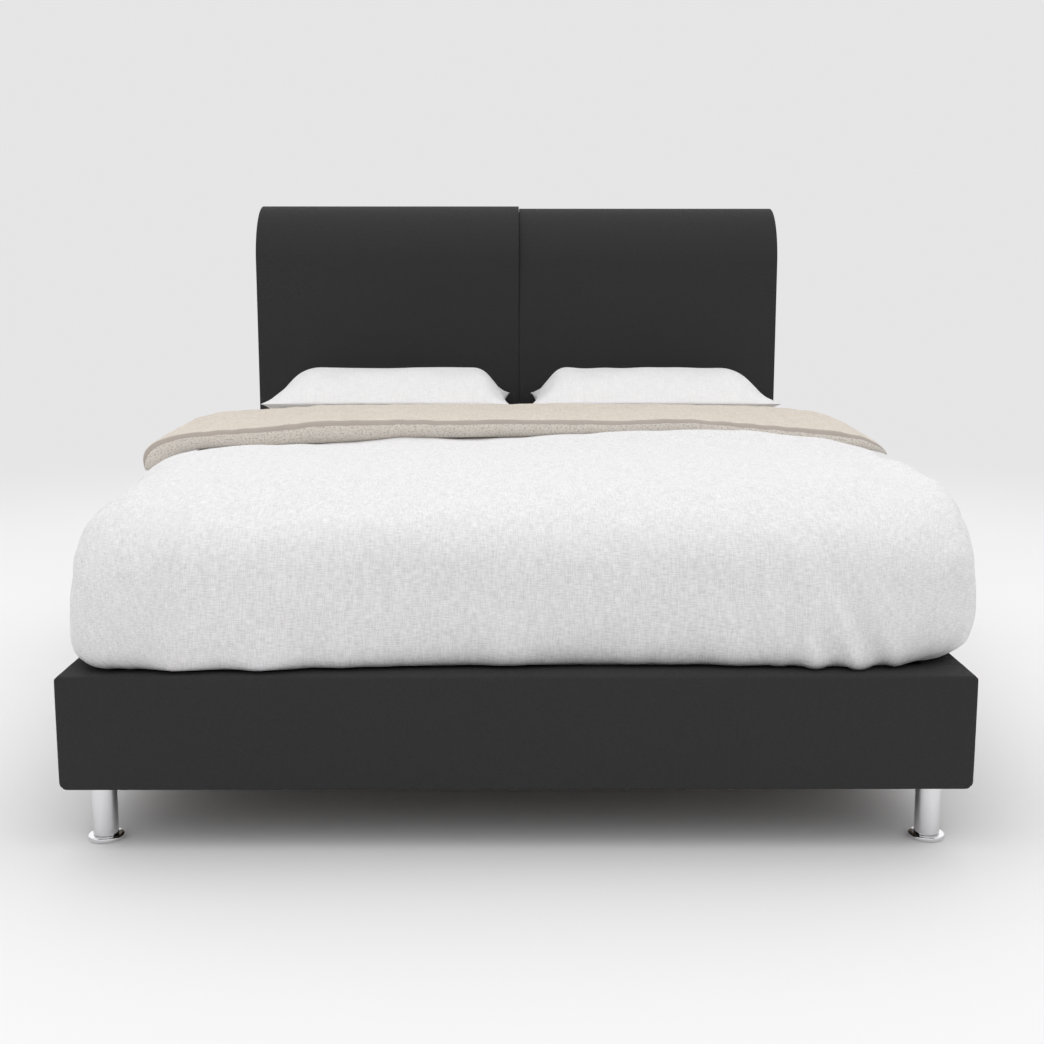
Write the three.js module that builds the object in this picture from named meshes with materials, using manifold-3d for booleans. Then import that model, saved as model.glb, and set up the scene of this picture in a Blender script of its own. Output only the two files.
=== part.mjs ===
// Upholstered sleigh bed: a low box frame on four chrome legs, a padded headboard in two halves
// whose top rolls back, and the bedding that lies on it.
// Millimetres. X to the right, Y from the foot to the head, Z up. The origin is on the floor,
// at the middle of the bed's length and width.
import * as THREE from 'three';
import * as BufferGeometryUtils from 'three/addons/utils/BufferGeometryUtils.js';
import Module from 'manifold-3d';

const wasm = await Module();
wasm.setup();

// ---- driving dimensions -----------------------------------------------------------------
const CLEARANCE = 0.3; // gap between pieces that touch

// Mattress and the room round it
const MATTRESS_WIDTH = 1400;
const MATTRESS_LENGTH = 2000;
const MATTRESS_HEIGHT = 265;
const MATTRESS_CORNER = 60;
const MATTRESS_EDGE = 30;
const MATTRESS_SIDE_GAP = 20;
const MATTRESS_END_GAP = 7;
const MATTRESS_SINK = 35; // how far the mattress sits below the top of the rails

// Upholstered rails
const RAIL_THICKNESS = 80;
const RAIL_HEIGHT = 205;
const RAIL_TOP_RADIUS = 9;
const RAIL_CORNER_RADIUS = 14; // lower corners of the foot rail, seen from the front
const BOARD = 18; // boards of the rails' inner boxes
const RAIL_SKIN = 6; // foam and leather round a rail
const LEATHER = 2.5; // leather alone, turned under the rails
const TURN_UNDER = 18; // how far the leather goes in under a rail
const CORNER_BLOCK = 130; // solid timber at a rail's end, where a leg screws in

// Legs and levelling feet
const LEG_HEIGHT = 110;
const LEG_DIAMETER = 45;
const LEG_WALL = 2;
const LEG_INSET = 61; // leg axis from the frame's outer faces
const LEG_TOP_PLATE = 4;
const LEG_PLUG = 16; // threaded plug in the leg's lower end
const LEG_BOLT_DIAMETER = 10;
const LEG_BOLT_LENGTH = 45;
const FOOT_DIAMETER = 65;
const FOOT_THICKNESS = 9;
const FOOT_EDGE_RADIUS = 3.6;
const STUD_DIAMETER = 10;
const STUD_LENGTH = 42;
const STUD_CHAMFER = 1.5;

// Slats, their holders and the centre beam
const SLAT_COUNT = 14;
const SLAT_WIDTH = 70;
const SLAT_THICKNESS = 12;
const SLAT_CAMBER = 10;
const SLAT_FLAT_END = 32; // straight stretch of a slat inside its holder
const HOLDER_WALL = 3;
const HOLDER_DEPTH = 28;
const LEDGE_WIDTH = 32;
const LEDGE_HEIGHT = 45;
const BEAM_WIDTH = 40;
const BEAM_HEIGHT = 60;
const BEAM_WALL = 2.5;
const BEAM_BRACKET_DEPTH = 36;
const BEAM_BRACKET_PLATE = 96;
const CENTRE_LEG_DIAMETER = 32;
const CENTRE_FOOT_DIAMETER = 48;

// Head rail and steel corner brackets
const HEAD_RAIL_THICKNESS = 25;
const HEAD_RAIL_HEIGHT = 150;
const BRACKET_LEG = 58;
const BRACKET_HEIGHT = 80;
const BRACKET_DROP = 5; // top of a bracket below the slat ledges
const BRACKET_BEND_RADIUS = 6;
const STEEL = 3; // sheet steel of the brackets
const SCREW_HOLE = 7;

// Headboard
const HEADBOARD_THICKNESS = 70;
const HEADBOARD_STRAIGHT_TOP = 1046; // where the upright face ends and the roll starts
const HEADBOARD_LEFT_RAISE = 7; // the left half sits this much higher than the right
const HEADBOARD_SEAM = 8; // the joint between the halves is this far right of the middle
const HEADBOARD_PAD = 22; // foam and leather on the face
const HEADBOARD_END_PAD = 14; // round the end of the roll
const HEADBOARD_SIDE_PAD = 7;
const HEADBOARD_BACK_SKIN = 3;
const HEADBOARD_EDGE_RADIUS = 5;
const ROLL_RADIUS = 172;
const ROLL_SWEEP = THREE.MathUtils.degToRad(115);
const BOLT_DIAMETER = 8;
const BOLT_HEAD = 13;
const BOLT_HEAD_HEIGHT = 5.5;
const BOLT_REACH = 40; // length of a headboard bolt inside the headboard
const BOLT_INSET = 90; // outermost bolts from the side rails
const BOLT_LIFT = 70; // bolts above the underside of the head rail

// Bedding
const DUVET_THICKNESS = 72; // on top of the mattress
const DUVET_SIDE_FRONT = 125; // beside the mattress, at the foot, where the duvet is fullest
const DUVET_SIDE_HEAD = 165; // the same at the head end
const DUVET_REST = 8; // lower edge of the duvet inside the rails' outer faces
const DUVET_SETBACK = 50; // duvet behind the foot rail's front face, where it is fullest
const DUVET_TUCK = 20; // its lower edge lies this much further back
const DUVET_CORNER = 160; // corner radius in plan
const DUVET_EDGE_DROP = 130; // height of the rounded top edge
const DUVET_EDGE_REACH = 170; // and its width
const BLANKET_DEPTH = 507; // from the turned-back layer's hem to the duvet's head end
const BLANKET_THICKNESS = 38;
const BLANKET_DROP = 85; // how far the layer hangs below the top of the duvet
const PILLOW_WIDTH = 712;
const PILLOW_DEPTH = 465;
const PILLOW_HEIGHT = 195;
const PILLOW_MIDDLE = 379; // pillow's centre from the middle of the bed
const PILLOW_SEAM_RADIUS = 24; // corners of the seam, in plan
const PILLOW_FACE_RADIUS = 96; // corners of the top and bottom faces
const PILLOW_SIDE_INSET = 80; // from the seam in to those faces, at the sides
const PILLOW_END_INSET = 76; // and at the front and back
const PILLOW_FRONT_GAP = 6;
const PILLOW_BACK_GAP = 1;

// ---- dimensions worked out from those ---------------------------------------------------
const frameWidth = MATTRESS_WIDTH + 2 * (MATTRESS_SIDE_GAP + RAIL_THICKNESS);
const innerWidth = frameWidth - 2 * RAIL_THICKNESS;
const frameLength = RAIL_THICKNESS + MATTRESS_LENGTH + 2 * MATTRESS_END_GAP;
const railBottom = LEG_HEIGHT;
const railTop = railBottom + RAIL_HEIGHT;
const rollMiddle = ROLL_RADIUS - HEADBOARD_THICKNESS / 2; // radius of the middle of the panel
const rollEnd = Math.PI - ROLL_SWEEP;
const headboardDepth = ROLL_RADIUS + rollMiddle * Math.cos(rollEnd) + HEADBOARD_THICKNESS / 2;
const bedLength = frameLength + headboardDepth;
const footFace = -bedLength / 2; // Y of the foot rail's front face
const headFace = footFace + frameLength; // Y of the headboard's padded face
const mattressBottom = railTop - MATTRESS_SINK;
const mattressTop = mattressBottom + MATTRESS_HEIGHT;
const slatTop = mattressBottom - CLEARANCE; // at the crown of a slat
const slatEndTop = slatTop - SLAT_CAMBER;
const ledgeTop = slatEndTop - SLAT_THICKNESS - 2 * CLEARANCE - HOLDER_WALL;
const beamTop = slatTop - SLAT_THICKNESS - CLEARANCE;
const beamBottom = beamTop - BEAM_HEIGHT;
const innerFoot = footFace + RAIL_THICKNESS; // inner face of the foot rail
const headRailFront = headFace - CLEARANCE - HEAD_RAIL_THICKNESS;

// ---- materials --------------------------------------------------------------------------
const finish = (color, roughness, metalness = 0) =>
  new THREE.MeshStandardMaterial({ color, roughness, metalness });
const leather = finish(0x343435, 0.5);
const chrome = finish(0xd8dadd, 0.08, 1);
const timber = finish(0xb98f5c, 0.7);
const plywood = finish(0xd9bd8c, 0.55);
const blackSteel = finish(0x1d1e20, 0.45, 0.4);
const zinc = finish(0xb4b7ba, 0.35, 1);
const plastic = finish(0x202124, 0.5);
const lining = finish(0x26272a, 0.9);
const ticking = finish(0xe6e3dc, 0.9);
const whiteLinen = finish(0xeeeeed, 0.95);
const beigeLinen = finish(0xcdc3b0, 0.95);

// ---- solids -----------------------------------------------------------------------------
// One closed surface: vertices shared, faces without area taken out.
function weld(geometry) {
  const bare = geometry.clone();
  bare.deleteAttribute('normal');
  bare.deleteAttribute('uv');
  const merged = BufferGeometryUtils.mergeVertices(bare, 1e-4);
  const corners = merged.index.array;
  const kept = [];
  for (let i = 0; i < corners.length; i += 3) {
    const [a, b, c] = [corners[i], corners[i + 1], corners[i + 2]];
    if (a !== b && b !== c && c !== a) kept.push(a, b, c);
  }
  merged.setIndex(kept);
  return merged;
}

function toSolid(geometry) {
  const closed = weld(geometry);
  return new wasm.Manifold(new wasm.Mesh({
    numProp: 3,
    vertProperties: new Float32Array(closed.attributes.position.array),
    triVerts: new Uint32Array(closed.index.array),
  }));
}

function toGeometry(solid) {
  const mesh = solid.getMesh();
  const geometry = new THREE.BufferGeometry();
  geometry.setAttribute('position', new THREE.BufferAttribute(mesh.vertProperties, mesh.numProp));
  geometry.setIndex(new THREE.BufferAttribute(mesh.triVerts, 1));
  return geometry;
}

const cut = (body, ...tools) =>
  toGeometry(tools.reduce((solid, tool) => solid.subtract(toSolid(tool)), toSolid(body)));
const join = (body, ...pieces) =>
  toGeometry(pieces.reduce((solid, piece) => solid.add(toSolid(piece)), toSolid(body)));
const overlapOf = (body, other) => toGeometry(toSolid(body).intersect(toSolid(other)));

// A box given by its lowest and highest corners.
function block(x0, x1, y0, y1, z0, z1) {
  const box = new THREE.BoxGeometry(x1 - x0, y1 - y0, z1 - z0);
  return box.translate((x0 + x1) / 2, (y0 + y1) / 2, (z0 + z1) / 2);
}

// Extrudes a shape drawn as (x, z) from y0 to y1.
function alongY(shape, y0, y1, options = {}) {
  const body = new THREE.ExtrudeGeometry(shape, extrusion(y1 - y0, options));
  return body.rotateX(Math.PI / 2).translate(0, y1 - (options.bevel ?? 0), 0);
}

// Extrudes a shape drawn as (y, z) from x0 to x1.
function alongX(shape, x0, x1, options = {}) {
  const body = new THREE.ExtrudeGeometry(shape, extrusion(x1 - x0, options));
  const turn = new THREE.Matrix4().makeBasis(
    new THREE.Vector3(0, 1, 0), new THREE.Vector3(0, 0, 1), new THREE.Vector3(1, 0, 0));
  return body.applyMatrix4(turn).translate(x0 + (options.bevel ?? 0), 0, 0);
}

// Extrudes a shape drawn as (x, y) from z0 to z1.
function alongZ(shape, z0, z1, options = {}) {
  const body = new THREE.ExtrudeGeometry(shape, extrusion(z1 - z0, options));
  return body.translate(0, 0, z0 + (options.bevel ?? 0));
}

// The bevel eats into the length and the outline, so the outer size stays as drawn.
function extrusion(length, { bevel = 0, segments = 8, bevelSegments = 2 }) {
  return {
    depth: length - 2 * bevel,
    curveSegments: segments,
    bevelEnabled: bevel > 0,
    bevelThickness: bevel,
    bevelSize: bevel,
    bevelOffset: -bevel,
    bevelSegments,
  };
}

// Rectangle with its own radius at the lower and at the upper corners.
function roundedRectangle(x0, x1, z0, z1, lower, upper = lower) {
  const shape = new THREE.Shape();
  shape.moveTo(x0 + lower, z0);
  shape.lineTo(x1 - lower, z0);
  shape.absarc(x1 - lower, z0 + lower, lower, -Math.PI / 2, 0);
  shape.lineTo(x1, z1 - upper);
  shape.absarc(x1 - upper, z1 - upper, upper, 0, Math.PI / 2);
  shape.lineTo(x0 + upper, z1);
  shape.absarc(x0 + upper, z1 - upper, upper, Math.PI / 2, Math.PI);
  shape.lineTo(x0, z0 + lower);
  shape.absarc(x0 + lower, z0 + lower, lower, Math.PI, 1.5 * Math.PI);
  return shape;
}

// Turns a profile of [radius, height] points round an upright axis.
function turned(profile, sides = 20) {
  const points = profile.map(([radius, height]) => new THREE.Vector2(radius, height));
  return new THREE.LatheGeometry(points, sides).rotateX(Math.PI / 2);
}

function rod(x, y, z0, z1, radius, sides = 16) {
  return turned([[0, z0], [radius, z0], [radius, z1], [0, z1]], sides).translate(x, y, 0);
}

// A round rod along Y.
function rodAlongY(x, z, y0, y1, radius, sides = 16) {
  const body = new THREE.CylinderGeometry(radius, radius, y1 - y0, sides);
  return body.translate(x, (y0 + y1) / 2, z);
}

const bed = new THREE.Group();
function add(name, geometry, material, parent = bed) {
  const mesh = new THREE.Mesh(weld(geometry), material);
  mesh.name = name;
  parent.add(mesh);
  return mesh;
}

const sides = [['left', -1], ['right', 1]];

// ---- rails ------------------------------------------------------------------------------
const coreBottom = railBottom + LEATHER + CLEARANCE;
const coreTop = railTop - RAIL_SKIN - CLEARANCE;
const coreInset = RAIL_SKIN + CLEARANCE;
const studHoleRadius = LEG_BOLT_DIAMETER / 2 + CLEARANCE;
const legX = frameWidth / 2 - LEG_INSET;
const frontLegY = footFace + LEG_INSET;
const rearLegY = headFace - LEG_INSET;

function legBoltHole(x, y) {
  return rod(x, y, railBottom - 1, railBottom + LEG_BOLT_LENGTH + 1, studHoleRadius);
}

// The foot rail's box: a front, an inner and a top board, closed by a solid block at each end.
function footRailCore(grow = 0) {
  const outline = roundedRectangle(
    -frameWidth / 2 + coreInset - grow, frameWidth / 2 - coreInset + grow,
    coreBottom - grow, coreTop + grow,
    RAIL_CORNER_RADIUS - RAIL_SKIN, RAIL_TOP_RADIUS - RAIL_SKIN);
  return alongY(outline, footFace + coreInset - grow, innerFoot - coreInset + grow,
    { segments: 3 });
}

function addFootRail() {
  const channel = block(
    -frameWidth / 2 + CORNER_BLOCK, frameWidth / 2 - CORNER_BLOCK,
    footFace + coreInset + BOARD, innerFoot - coreInset - BOARD,
    coreBottom - 1, coreTop - BOARD);
  const holes = sides.map(([, side]) => legBoltHole(side * legX, frontLegY));
  add('foot_rail_core', cut(footRailCore(), channel, ...holes), timber);

  const outline = roundedRectangle(
    -frameWidth / 2, frameWidth / 2, railBottom, railTop, RAIL_CORNER_RADIUS, RAIL_TOP_RADIUS);
  const padded = alongY(outline, footFace, innerFoot, { bevel: RAIL_SKIN * 0.7, segments: 4 });
  const opening = block(
    -frameWidth / 2 + TURN_UNDER, frameWidth / 2 - TURN_UNDER,
    footFace + TURN_UNDER, innerFoot - TURN_UNDER, railBottom - 1, coreBottom + 1);
  add('foot_rail_cover', cut(padded, footRailCore(CLEARANCE), opening, ...holes), leather);
}

// A side rail runs from the foot rail to the headboard. Its box is open underneath between
// the boards, with a solid block at the head end for the rear leg.
function addSideRail(name, side) {
  const start = innerFoot + CLEARANCE;
  const end = headFace - CLEARANCE;
  const outer = frameWidth / 2;
  const inner = outer - RAIL_THICKNESS;
  const [x0, x1] = side < 0 ? [-outer, -inner] : [inner, outer];
  const holes = [legBoltHole(side * legX, rearLegY)];

  const core = roundedRectangle(
    x0 + coreInset, x1 - coreInset, coreBottom, coreTop, 1, RAIL_TOP_RADIUS - RAIL_SKIN);
  const channel = block(
    x0 + coreInset + BOARD, x1 - coreInset - BOARD, start - 1, end - CORNER_BLOCK,
    coreBottom - 1, coreTop - BOARD);
  add(`${name}_rail_core`, cut(alongY(core, start, end, { segments: 3 }), channel, ...holes), timber);

  const outline = roundedRectangle(x0, x1, railBottom, railTop, 4, RAIL_TOP_RADIUS);
  const inside = roundedRectangle(
    x0 + RAIL_SKIN, x1 - RAIL_SKIN, railBottom + LEATHER, railTop - RAIL_SKIN,
    1, RAIL_TOP_RADIUS - RAIL_SKIN);
  const opening = block(
    x0 + TURN_UNDER, x1 - TURN_UNDER, start - 1, end + 1, railBottom - 1, coreBottom + 1);
  const padded = alongY(outline, start, end, { segments: 4 });
  const hollow = alongY(inside, start - 1, end + 1, { segments: 3 });
  add(`${name}_rail_cover`, cut(padded, hollow, opening, ...holes), leather);
}

// A plain board behind the mattress; the headboard is bolted to it.
const headRailBottom = coreBottom;
const headboardBoltZ = headRailBottom + BOLT_LIFT;
const headboardBolts = [-1, -1 / 3, 1 / 3, 1].map(
  (share) => share * (innerWidth / 2 - BOLT_INSET));

function headboardBoltHole(x) {
  const end = headFace + HEADBOARD_PAD + BOLT_REACH + 1;
  return rodAlongY(x, headboardBoltZ, headRailFront - 1, end, BOLT_DIAMETER / 2 + CLEARANCE);
}

function addHeadRail() {
  const half = innerWidth / 2 - CLEARANCE;
  const board = block(
    -half, half, headRailFront, headFace - CLEARANCE,
    headRailBottom, headRailBottom + HEAD_RAIL_HEIGHT);
  add('head_rail', cut(board, ...headboardBolts.map(headboardBoltHole)), timber);
}

// Folded steel angle in a corner of the frame: one leg on the side rail, one on the cross rail.
function addCornerBracket(name, side, crossFace, toHead) {
  const legShape = new THREE.Shape();
  const reach = BRACKET_LEG;
  legShape.moveTo(0, 0);
  legShape.lineTo(0, reach);
  legShape.lineTo(STEEL, reach);
  legShape.lineTo(STEEL, STEEL + BRACKET_BEND_RADIUS);
  legShape.absarc(STEEL + BRACKET_BEND_RADIUS, STEEL + BRACKET_BEND_RADIUS,
    BRACKET_BEND_RADIUS, Math.PI, 1.5 * Math.PI);
  legShape.lineTo(reach, STEEL);
  legShape.lineTo(reach, 0);
  legShape.closePath();
  const bottom = ledgeTop - LEDGE_HEIGHT - BRACKET_DROP - BRACKET_HEIGHT;
  const angle = alongZ(legShape, bottom, bottom + BRACKET_HEIGHT, { segments: 4 });
  const holes = [0.25, 0.75].flatMap((share) => {
    const z = bottom + share * BRACKET_HEIGHT;
    const across = rodAlongY(0, 0, -1, STEEL + 1, SCREW_HOLE / 2, 12);
    const along = across.clone().rotateZ(-Math.PI / 2);
    return [across.translate(reach * 0.65, 0, z), along.translate(0, reach * 0.65, z)];
  });
  const bracket = cut(angle, ...holes);
  // The angle is drawn for the left foot corner and turned round for the others.
  const quarter = { '-1false': 0, '1false': 1, '1true': 2, '-1true': 3 }[`${side}${toHead}`];
  bracket.rotateZ(quarter * Math.PI / 2);
  bracket.translate(
    side * (innerWidth / 2 - CLEARANCE), crossFace + (toHead ? -CLEARANCE : CLEARANCE), 0);
  add(name, bracket, blackSteel);
}

addFootRail();
for (const [name, side] of sides) addSideRail(name, side);
addHeadRail();
for (const [name, side] of sides) {
  addCornerBracket(`foot_${name}_bracket`, side, innerFoot, false);
  addCornerBracket(`head_${name}_bracket`, side, headRailFront, true);
}

// ---- legs and levelling feet ------------------------------------------------------------
// A leg is one chromed tube: closed by a plate with a bolt on top, and by a threaded plug below.
function legProfile(diameter, top, boltLength) {
  const outer = diameter / 2;
  const bore = STUD_DIAMETER / 2 + CLEARANCE;
  const bottom = FOOT_THICKNESS + CLEARANCE;
  const bolt = LEG_BOLT_DIAMETER / 2;
  return [
    [bore, bottom], [outer, bottom], [outer, top], [bolt, top], [bolt, top + boltLength],
    [0, top + boltLength], [0, top - LEG_TOP_PLATE],
    [outer - LEG_WALL, top - LEG_TOP_PLATE], [outer - LEG_WALL, bottom + LEG_PLUG],
    [bore, bottom + LEG_PLUG], [bore, bottom],
  ];
}

// A disc with a rounded rim and a threaded stud that turns into the leg's plug.
function footProfile(diameter) {
  const outer = diameter / 2;
  const rim = FOOT_EDGE_RADIUS;
  const stud = STUD_DIAMETER / 2;
  const rimPoints = [];
  for (const [height, start] of [[rim, -90], [FOOT_THICKNESS - rim, 0]]) {
    for (const turn of [0, 45, 90]) {
      const angle = THREE.MathUtils.degToRad(start + turn);
      rimPoints.push([outer - rim + rim * Math.cos(angle), height + rim * Math.sin(angle)]);
    }
  }
  const tip = FOOT_THICKNESS + STUD_LENGTH;
  return [
    [0, 0], ...rimPoints, [stud, FOOT_THICKNESS],
    [stud, tip - STUD_CHAMFER], [stud - STUD_CHAMFER, tip], [0, tip],
  ];
}

function addLeg(name, x, y) {
  const leg = turned(legProfile(LEG_DIAMETER, railBottom - CLEARANCE, LEG_BOLT_LENGTH));
  add(`${name}_leg`, leg, chrome).position.set(x, y, 0);
  add(`${name}_foot`, turned(footProfile(FOOT_DIAMETER)), chrome).position.set(x, y, 0);
}

for (const [name, side] of sides) {
  addLeg(`front_${name}`, side * legX, frontLegY);
  addLeg(`rear_${name}`, side * legX, rearLegY);
}

// ---- slat base --------------------------------------------------------------------------
const slatFieldStart = innerFoot + BRACKET_LEG + SLAT_WIDTH / 2;
const slatFieldEnd = headRailFront - BRACKET_LEG - SLAT_WIDTH / 2;
const slatY = (index) =>
  slatFieldStart + (index / (SLAT_COUNT - 1)) * (slatFieldEnd - slatFieldStart);
const slatHalf = innerWidth / 2 - HOLDER_WALL - 2 * CLEARANCE;

// A bent-ply slat, straight where the holders grip it and arched between them.
function addSlat(index) {
  const flat = slatHalf - SLAT_FLAT_END;
  const bottom = slatEndTop - SLAT_THICKNESS;
  const arch = new THREE.Shape();
  arch.moveTo(-slatHalf, bottom);
  arch.lineTo(-flat, bottom);
  arch.quadraticCurveTo(0, bottom + 2 * SLAT_CAMBER, flat, bottom);
  arch.lineTo(slatHalf, bottom);
  arch.lineTo(slatHalf, slatEndTop);
  arch.lineTo(flat, slatEndTop);
  arch.quadraticCurveTo(0, slatEndTop + 2 * SLAT_CAMBER, -flat, slatEndTop);
  arch.lineTo(-slatHalf, slatEndTop);
  arch.closePath();
  const middle = slatY(index);
  const slat = alongY(arch, middle - SLAT_WIDTH / 2, middle + SLAT_WIDTH / 2, { segments: 8 });
  add(`slat_${String(index + 1).padStart(2, '0')}`, slat, plywood);
}

// The ledge is a batten along the rail; a moulded strip on it has one pocket for each slat.
function addLedge(name, side) {
  const wall = side * (innerWidth / 2 - CLEARANCE);
  const across = (from, to) => [wall - side * from, wall - side * to].sort((a, b) => a - b);
  const start = innerFoot + CLEARANCE;
  const end = headRailFront - CLEARANCE;
  add(`${name}_slat_ledge`,
    block(...across(0, LEDGE_WIDTH), start, end, ledgeTop - LEDGE_HEIGHT, ledgeTop), timber);

  const stripBottom = ledgeTop + CLEARANCE;
  const stripTop = stripBottom + HOLDER_WALL;
  const pocketTop = slatEndTop + CLEARANCE + HOLDER_WALL;
  const strip = block(
    ...across(0, HOLDER_DEPTH), slatFieldStart - SLAT_WIDTH, slatFieldEnd + SLAT_WIDTH,
    stripBottom, stripTop);
  const pockets = [];
  const mouths = [];
  for (let index = 0; index < SLAT_COUNT; index += 1) {
    const half = SLAT_WIDTH / 2 + CLEARANCE;
    const y = slatY(index);
    pockets.push(block(...across(0, HOLDER_DEPTH), y - half - HOLDER_WALL,
      y + half + HOLDER_WALL, stripBottom, pocketTop));
    mouths.push(block(...across(HOLDER_WALL, HOLDER_DEPTH + 1), y - half, y + half,
      stripTop, pocketTop - HOLDER_WALL));
  }
  add(`${name}_slat_holders`, cut(join(strip, ...pockets), ...mouths), plastic);
}

// A steel tube under the middle of the slats, hung at both ends in folded saddles.
function addCentreBeam() {
  const half = BEAM_WIDTH / 2;
  const section = roundedRectangle(-half, half, beamBottom, beamTop, 4);
  section.holes.push(roundedRectangle(
    -half + BEAM_WALL, half - BEAM_WALL, beamBottom + BEAM_WALL, beamTop - BEAM_WALL, 2));
  const start = innerFoot + STEEL + 2 * CLEARANCE;
  const end = headRailFront - STEEL - 2 * CLEARANCE;
  add('centre_beam', alongY(section, start, end, { segments: 3 }), blackSteel);

  const saddleOuter = half + CLEARANCE + STEEL;
  const saddleBottom = beamBottom - CLEARANCE - STEEL;
  const saddleTop = beamTop - BEAM_HEIGHT / 4;
  const trough = new THREE.Shape();
  trough.moveTo(-saddleOuter, saddleBottom);
  trough.lineTo(saddleOuter, saddleBottom);
  trough.lineTo(saddleOuter, saddleTop);
  trough.lineTo(saddleOuter - STEEL, saddleTop);
  trough.lineTo(saddleOuter - STEEL, saddleBottom + STEEL);
  trough.lineTo(-saddleOuter + STEEL, saddleBottom + STEEL);
  trough.lineTo(-saddleOuter + STEEL, saddleTop);
  trough.lineTo(-saddleOuter, saddleTop);
  trough.closePath();
  const plate = roundedRectangle(
    -BEAM_BRACKET_PLATE / 2, BEAM_BRACKET_PLATE / 2, saddleBottom, saddleTop, 5);
  for (const [name, face, inward] of [['foot', innerFoot, 1], ['head', headRailFront, -1]]) {
    const near = face + inward * CLEARANCE;
    const span = (depth) => [near, near + inward * depth].sort((a, b) => a - b);
    const saddle = join(alongY(trough, ...span(BEAM_BRACKET_DEPTH)),
      alongY(plate, ...span(STEEL), { segments: 3 }));
    const holes = [-1, 1].map((side) => rodAlongY(
      side * (BEAM_BRACKET_PLATE / 2 - SCREW_HOLE * 1.6), (saddleBottom + saddleTop) / 2,
      Math.min(...span(STEEL)) - 1, Math.max(...span(STEEL)) + 1, SCREW_HOLE / 2, 12));
    add(`${name}_beam_saddle`, cut(saddle, ...holes), blackSteel);
  }
}

// A plain black leg halfway along the beam, with a levelling foot like the others.
function addCentreLeg() {
  const y = (innerFoot + headRailFront) / 2;
  const leg = turned(legProfile(CENTRE_LEG_DIAMETER, beamBottom - CLEARANCE, 0), 20);
  add('centre_leg', leg, blackSteel).position.set(0, y, 0);
  add('centre_foot', turned(footProfile(CENTRE_FOOT_DIAMETER), 20), plastic).position.set(0, y, 0);
}

for (let index = 0; index < SLAT_COUNT; index += 1) addSlat(index);
for (const [name, side] of sides) addLedge(name, side);
addCentreBeam();
addCentreLeg();

// ---- headboard --------------------------------------------------------------------------
// The panel's side view as (y, z): upright, then rolled back round the roll's centre and closed
// by a round end. front, back and end are how far the outline lies inside the padded surface;
// bottom is its lowest height.
function rolledOutline({ front = 0, back = 0, end = 0, bottom = railBottom }) {
  const centreY = ROLL_RADIUS;
  const centreZ = HEADBOARD_STRAIGHT_TOP;
  const outer = ROLL_RADIUS - front;
  const inner = ROLL_RADIUS - HEADBOARD_THICKNESS + back;
  const middle = (outer + inner) / 2;
  const round = (outer - inner) / 2;
  const stop = rollEnd - (HEADBOARD_THICKNESS / 2 - round - end) / middle;
  const capY = centreY + middle * Math.cos(stop);
  const capZ = centreZ + middle * Math.sin(stop);
  const shape = new THREE.Shape();
  shape.moveTo(centreY - outer, bottom);
  shape.lineTo(centreY - inner, bottom);
  shape.lineTo(centreY - inner, centreZ);
  shape.absarc(centreY, centreZ, inner, Math.PI, stop, true);
  shape.absarc(capY, capZ, round, stop + Math.PI, stop + 2 * Math.PI, false);
  shape.absarc(centreY, centreZ, outer, stop, Math.PI, false);
  shape.lineTo(centreY - outer, bottom);
  return shape;
}

// One half: a curved ply core, a padded leather cover that is open at the back, and a thin
// lined panel that closes it.
function addHeadboardHalf(name, x0, x1, raise) {
  const half = new THREE.Group();
  half.position.set(0, headFace, raise);
  bed.add(half);
  const segments = { segments: 10 };
  const innerX0 = x0 + HEADBOARD_SIDE_PAD;
  const innerX1 = x1 - HEADBOARD_SIDE_PAD;
  const bolts = headboardBolts
    .filter((x) => x > x0 && x < x1)
    .map((x) => headboardBoltHole(x).translate(0, -headFace, -raise));

  const coreFront = HEADBOARD_PAD + CLEARANCE;
  const coreBack = HEADBOARD_BACK_SKIN + CLEARANCE;
  const core = rolledOutline({ front: coreFront, back: coreBack, end: HEADBOARD_END_PAD + CLEARANCE });
  add(`headboard_${name}_core`,
    cut(alongX(core, innerX0 + CLEARANCE, innerX1 - CLEARANCE, segments), ...bolts),
    plywood, half);

  const padded = alongX(rolledOutline({}), x0, x1,
    { ...segments, bevel: HEADBOARD_EDGE_RADIUS });
  const pockets = [
    { front: HEADBOARD_PAD, back: HEADBOARD_BACK_SKIN },
    { front: HEADBOARD_THICKNESS - HEADBOARD_BACK_SKIN - CLEARANCE, back: -CLEARANCE * 5 },
  ].map((insets) => alongX(
    rolledOutline({ ...insets, end: HEADBOARD_END_PAD, bottom: railBottom - 1 }),
    innerX0, innerX1, segments));
  add(`headboard_${name}_cover`, cut(padded, ...pockets, ...bolts), leather, half);

  const skin = rolledOutline({
    front: HEADBOARD_THICKNESS - HEADBOARD_BACK_SKIN, end: HEADBOARD_END_PAD + 2 * CLEARANCE,
  });
  add(`headboard_${name}_back`,
    alongX(skin, innerX0 + CLEARANCE, innerX1 - CLEARANCE, segments), lining, half);
}

// Hexagon bolts from inside the head rail into the headboard's core.
function addHeadboardBolt(index, x) {
  const head = new THREE.CylinderGeometry(
    BOLT_HEAD / Math.sqrt(3), BOLT_HEAD / Math.sqrt(3), BOLT_HEAD_HEIGHT, 6);
  const headFront = headRailFront - CLEARANCE - BOLT_HEAD_HEIGHT;
  head.translate(x, headFront + BOLT_HEAD_HEIGHT / 2, headboardBoltZ);
  const shank = rodAlongY(x, headboardBoltZ, headFront + 1,
    headFace + HEADBOARD_PAD + BOLT_REACH, BOLT_DIAMETER / 2);
  add(`headboard_bolt_${index + 1}`, join(head, shank), zinc);
}

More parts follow.
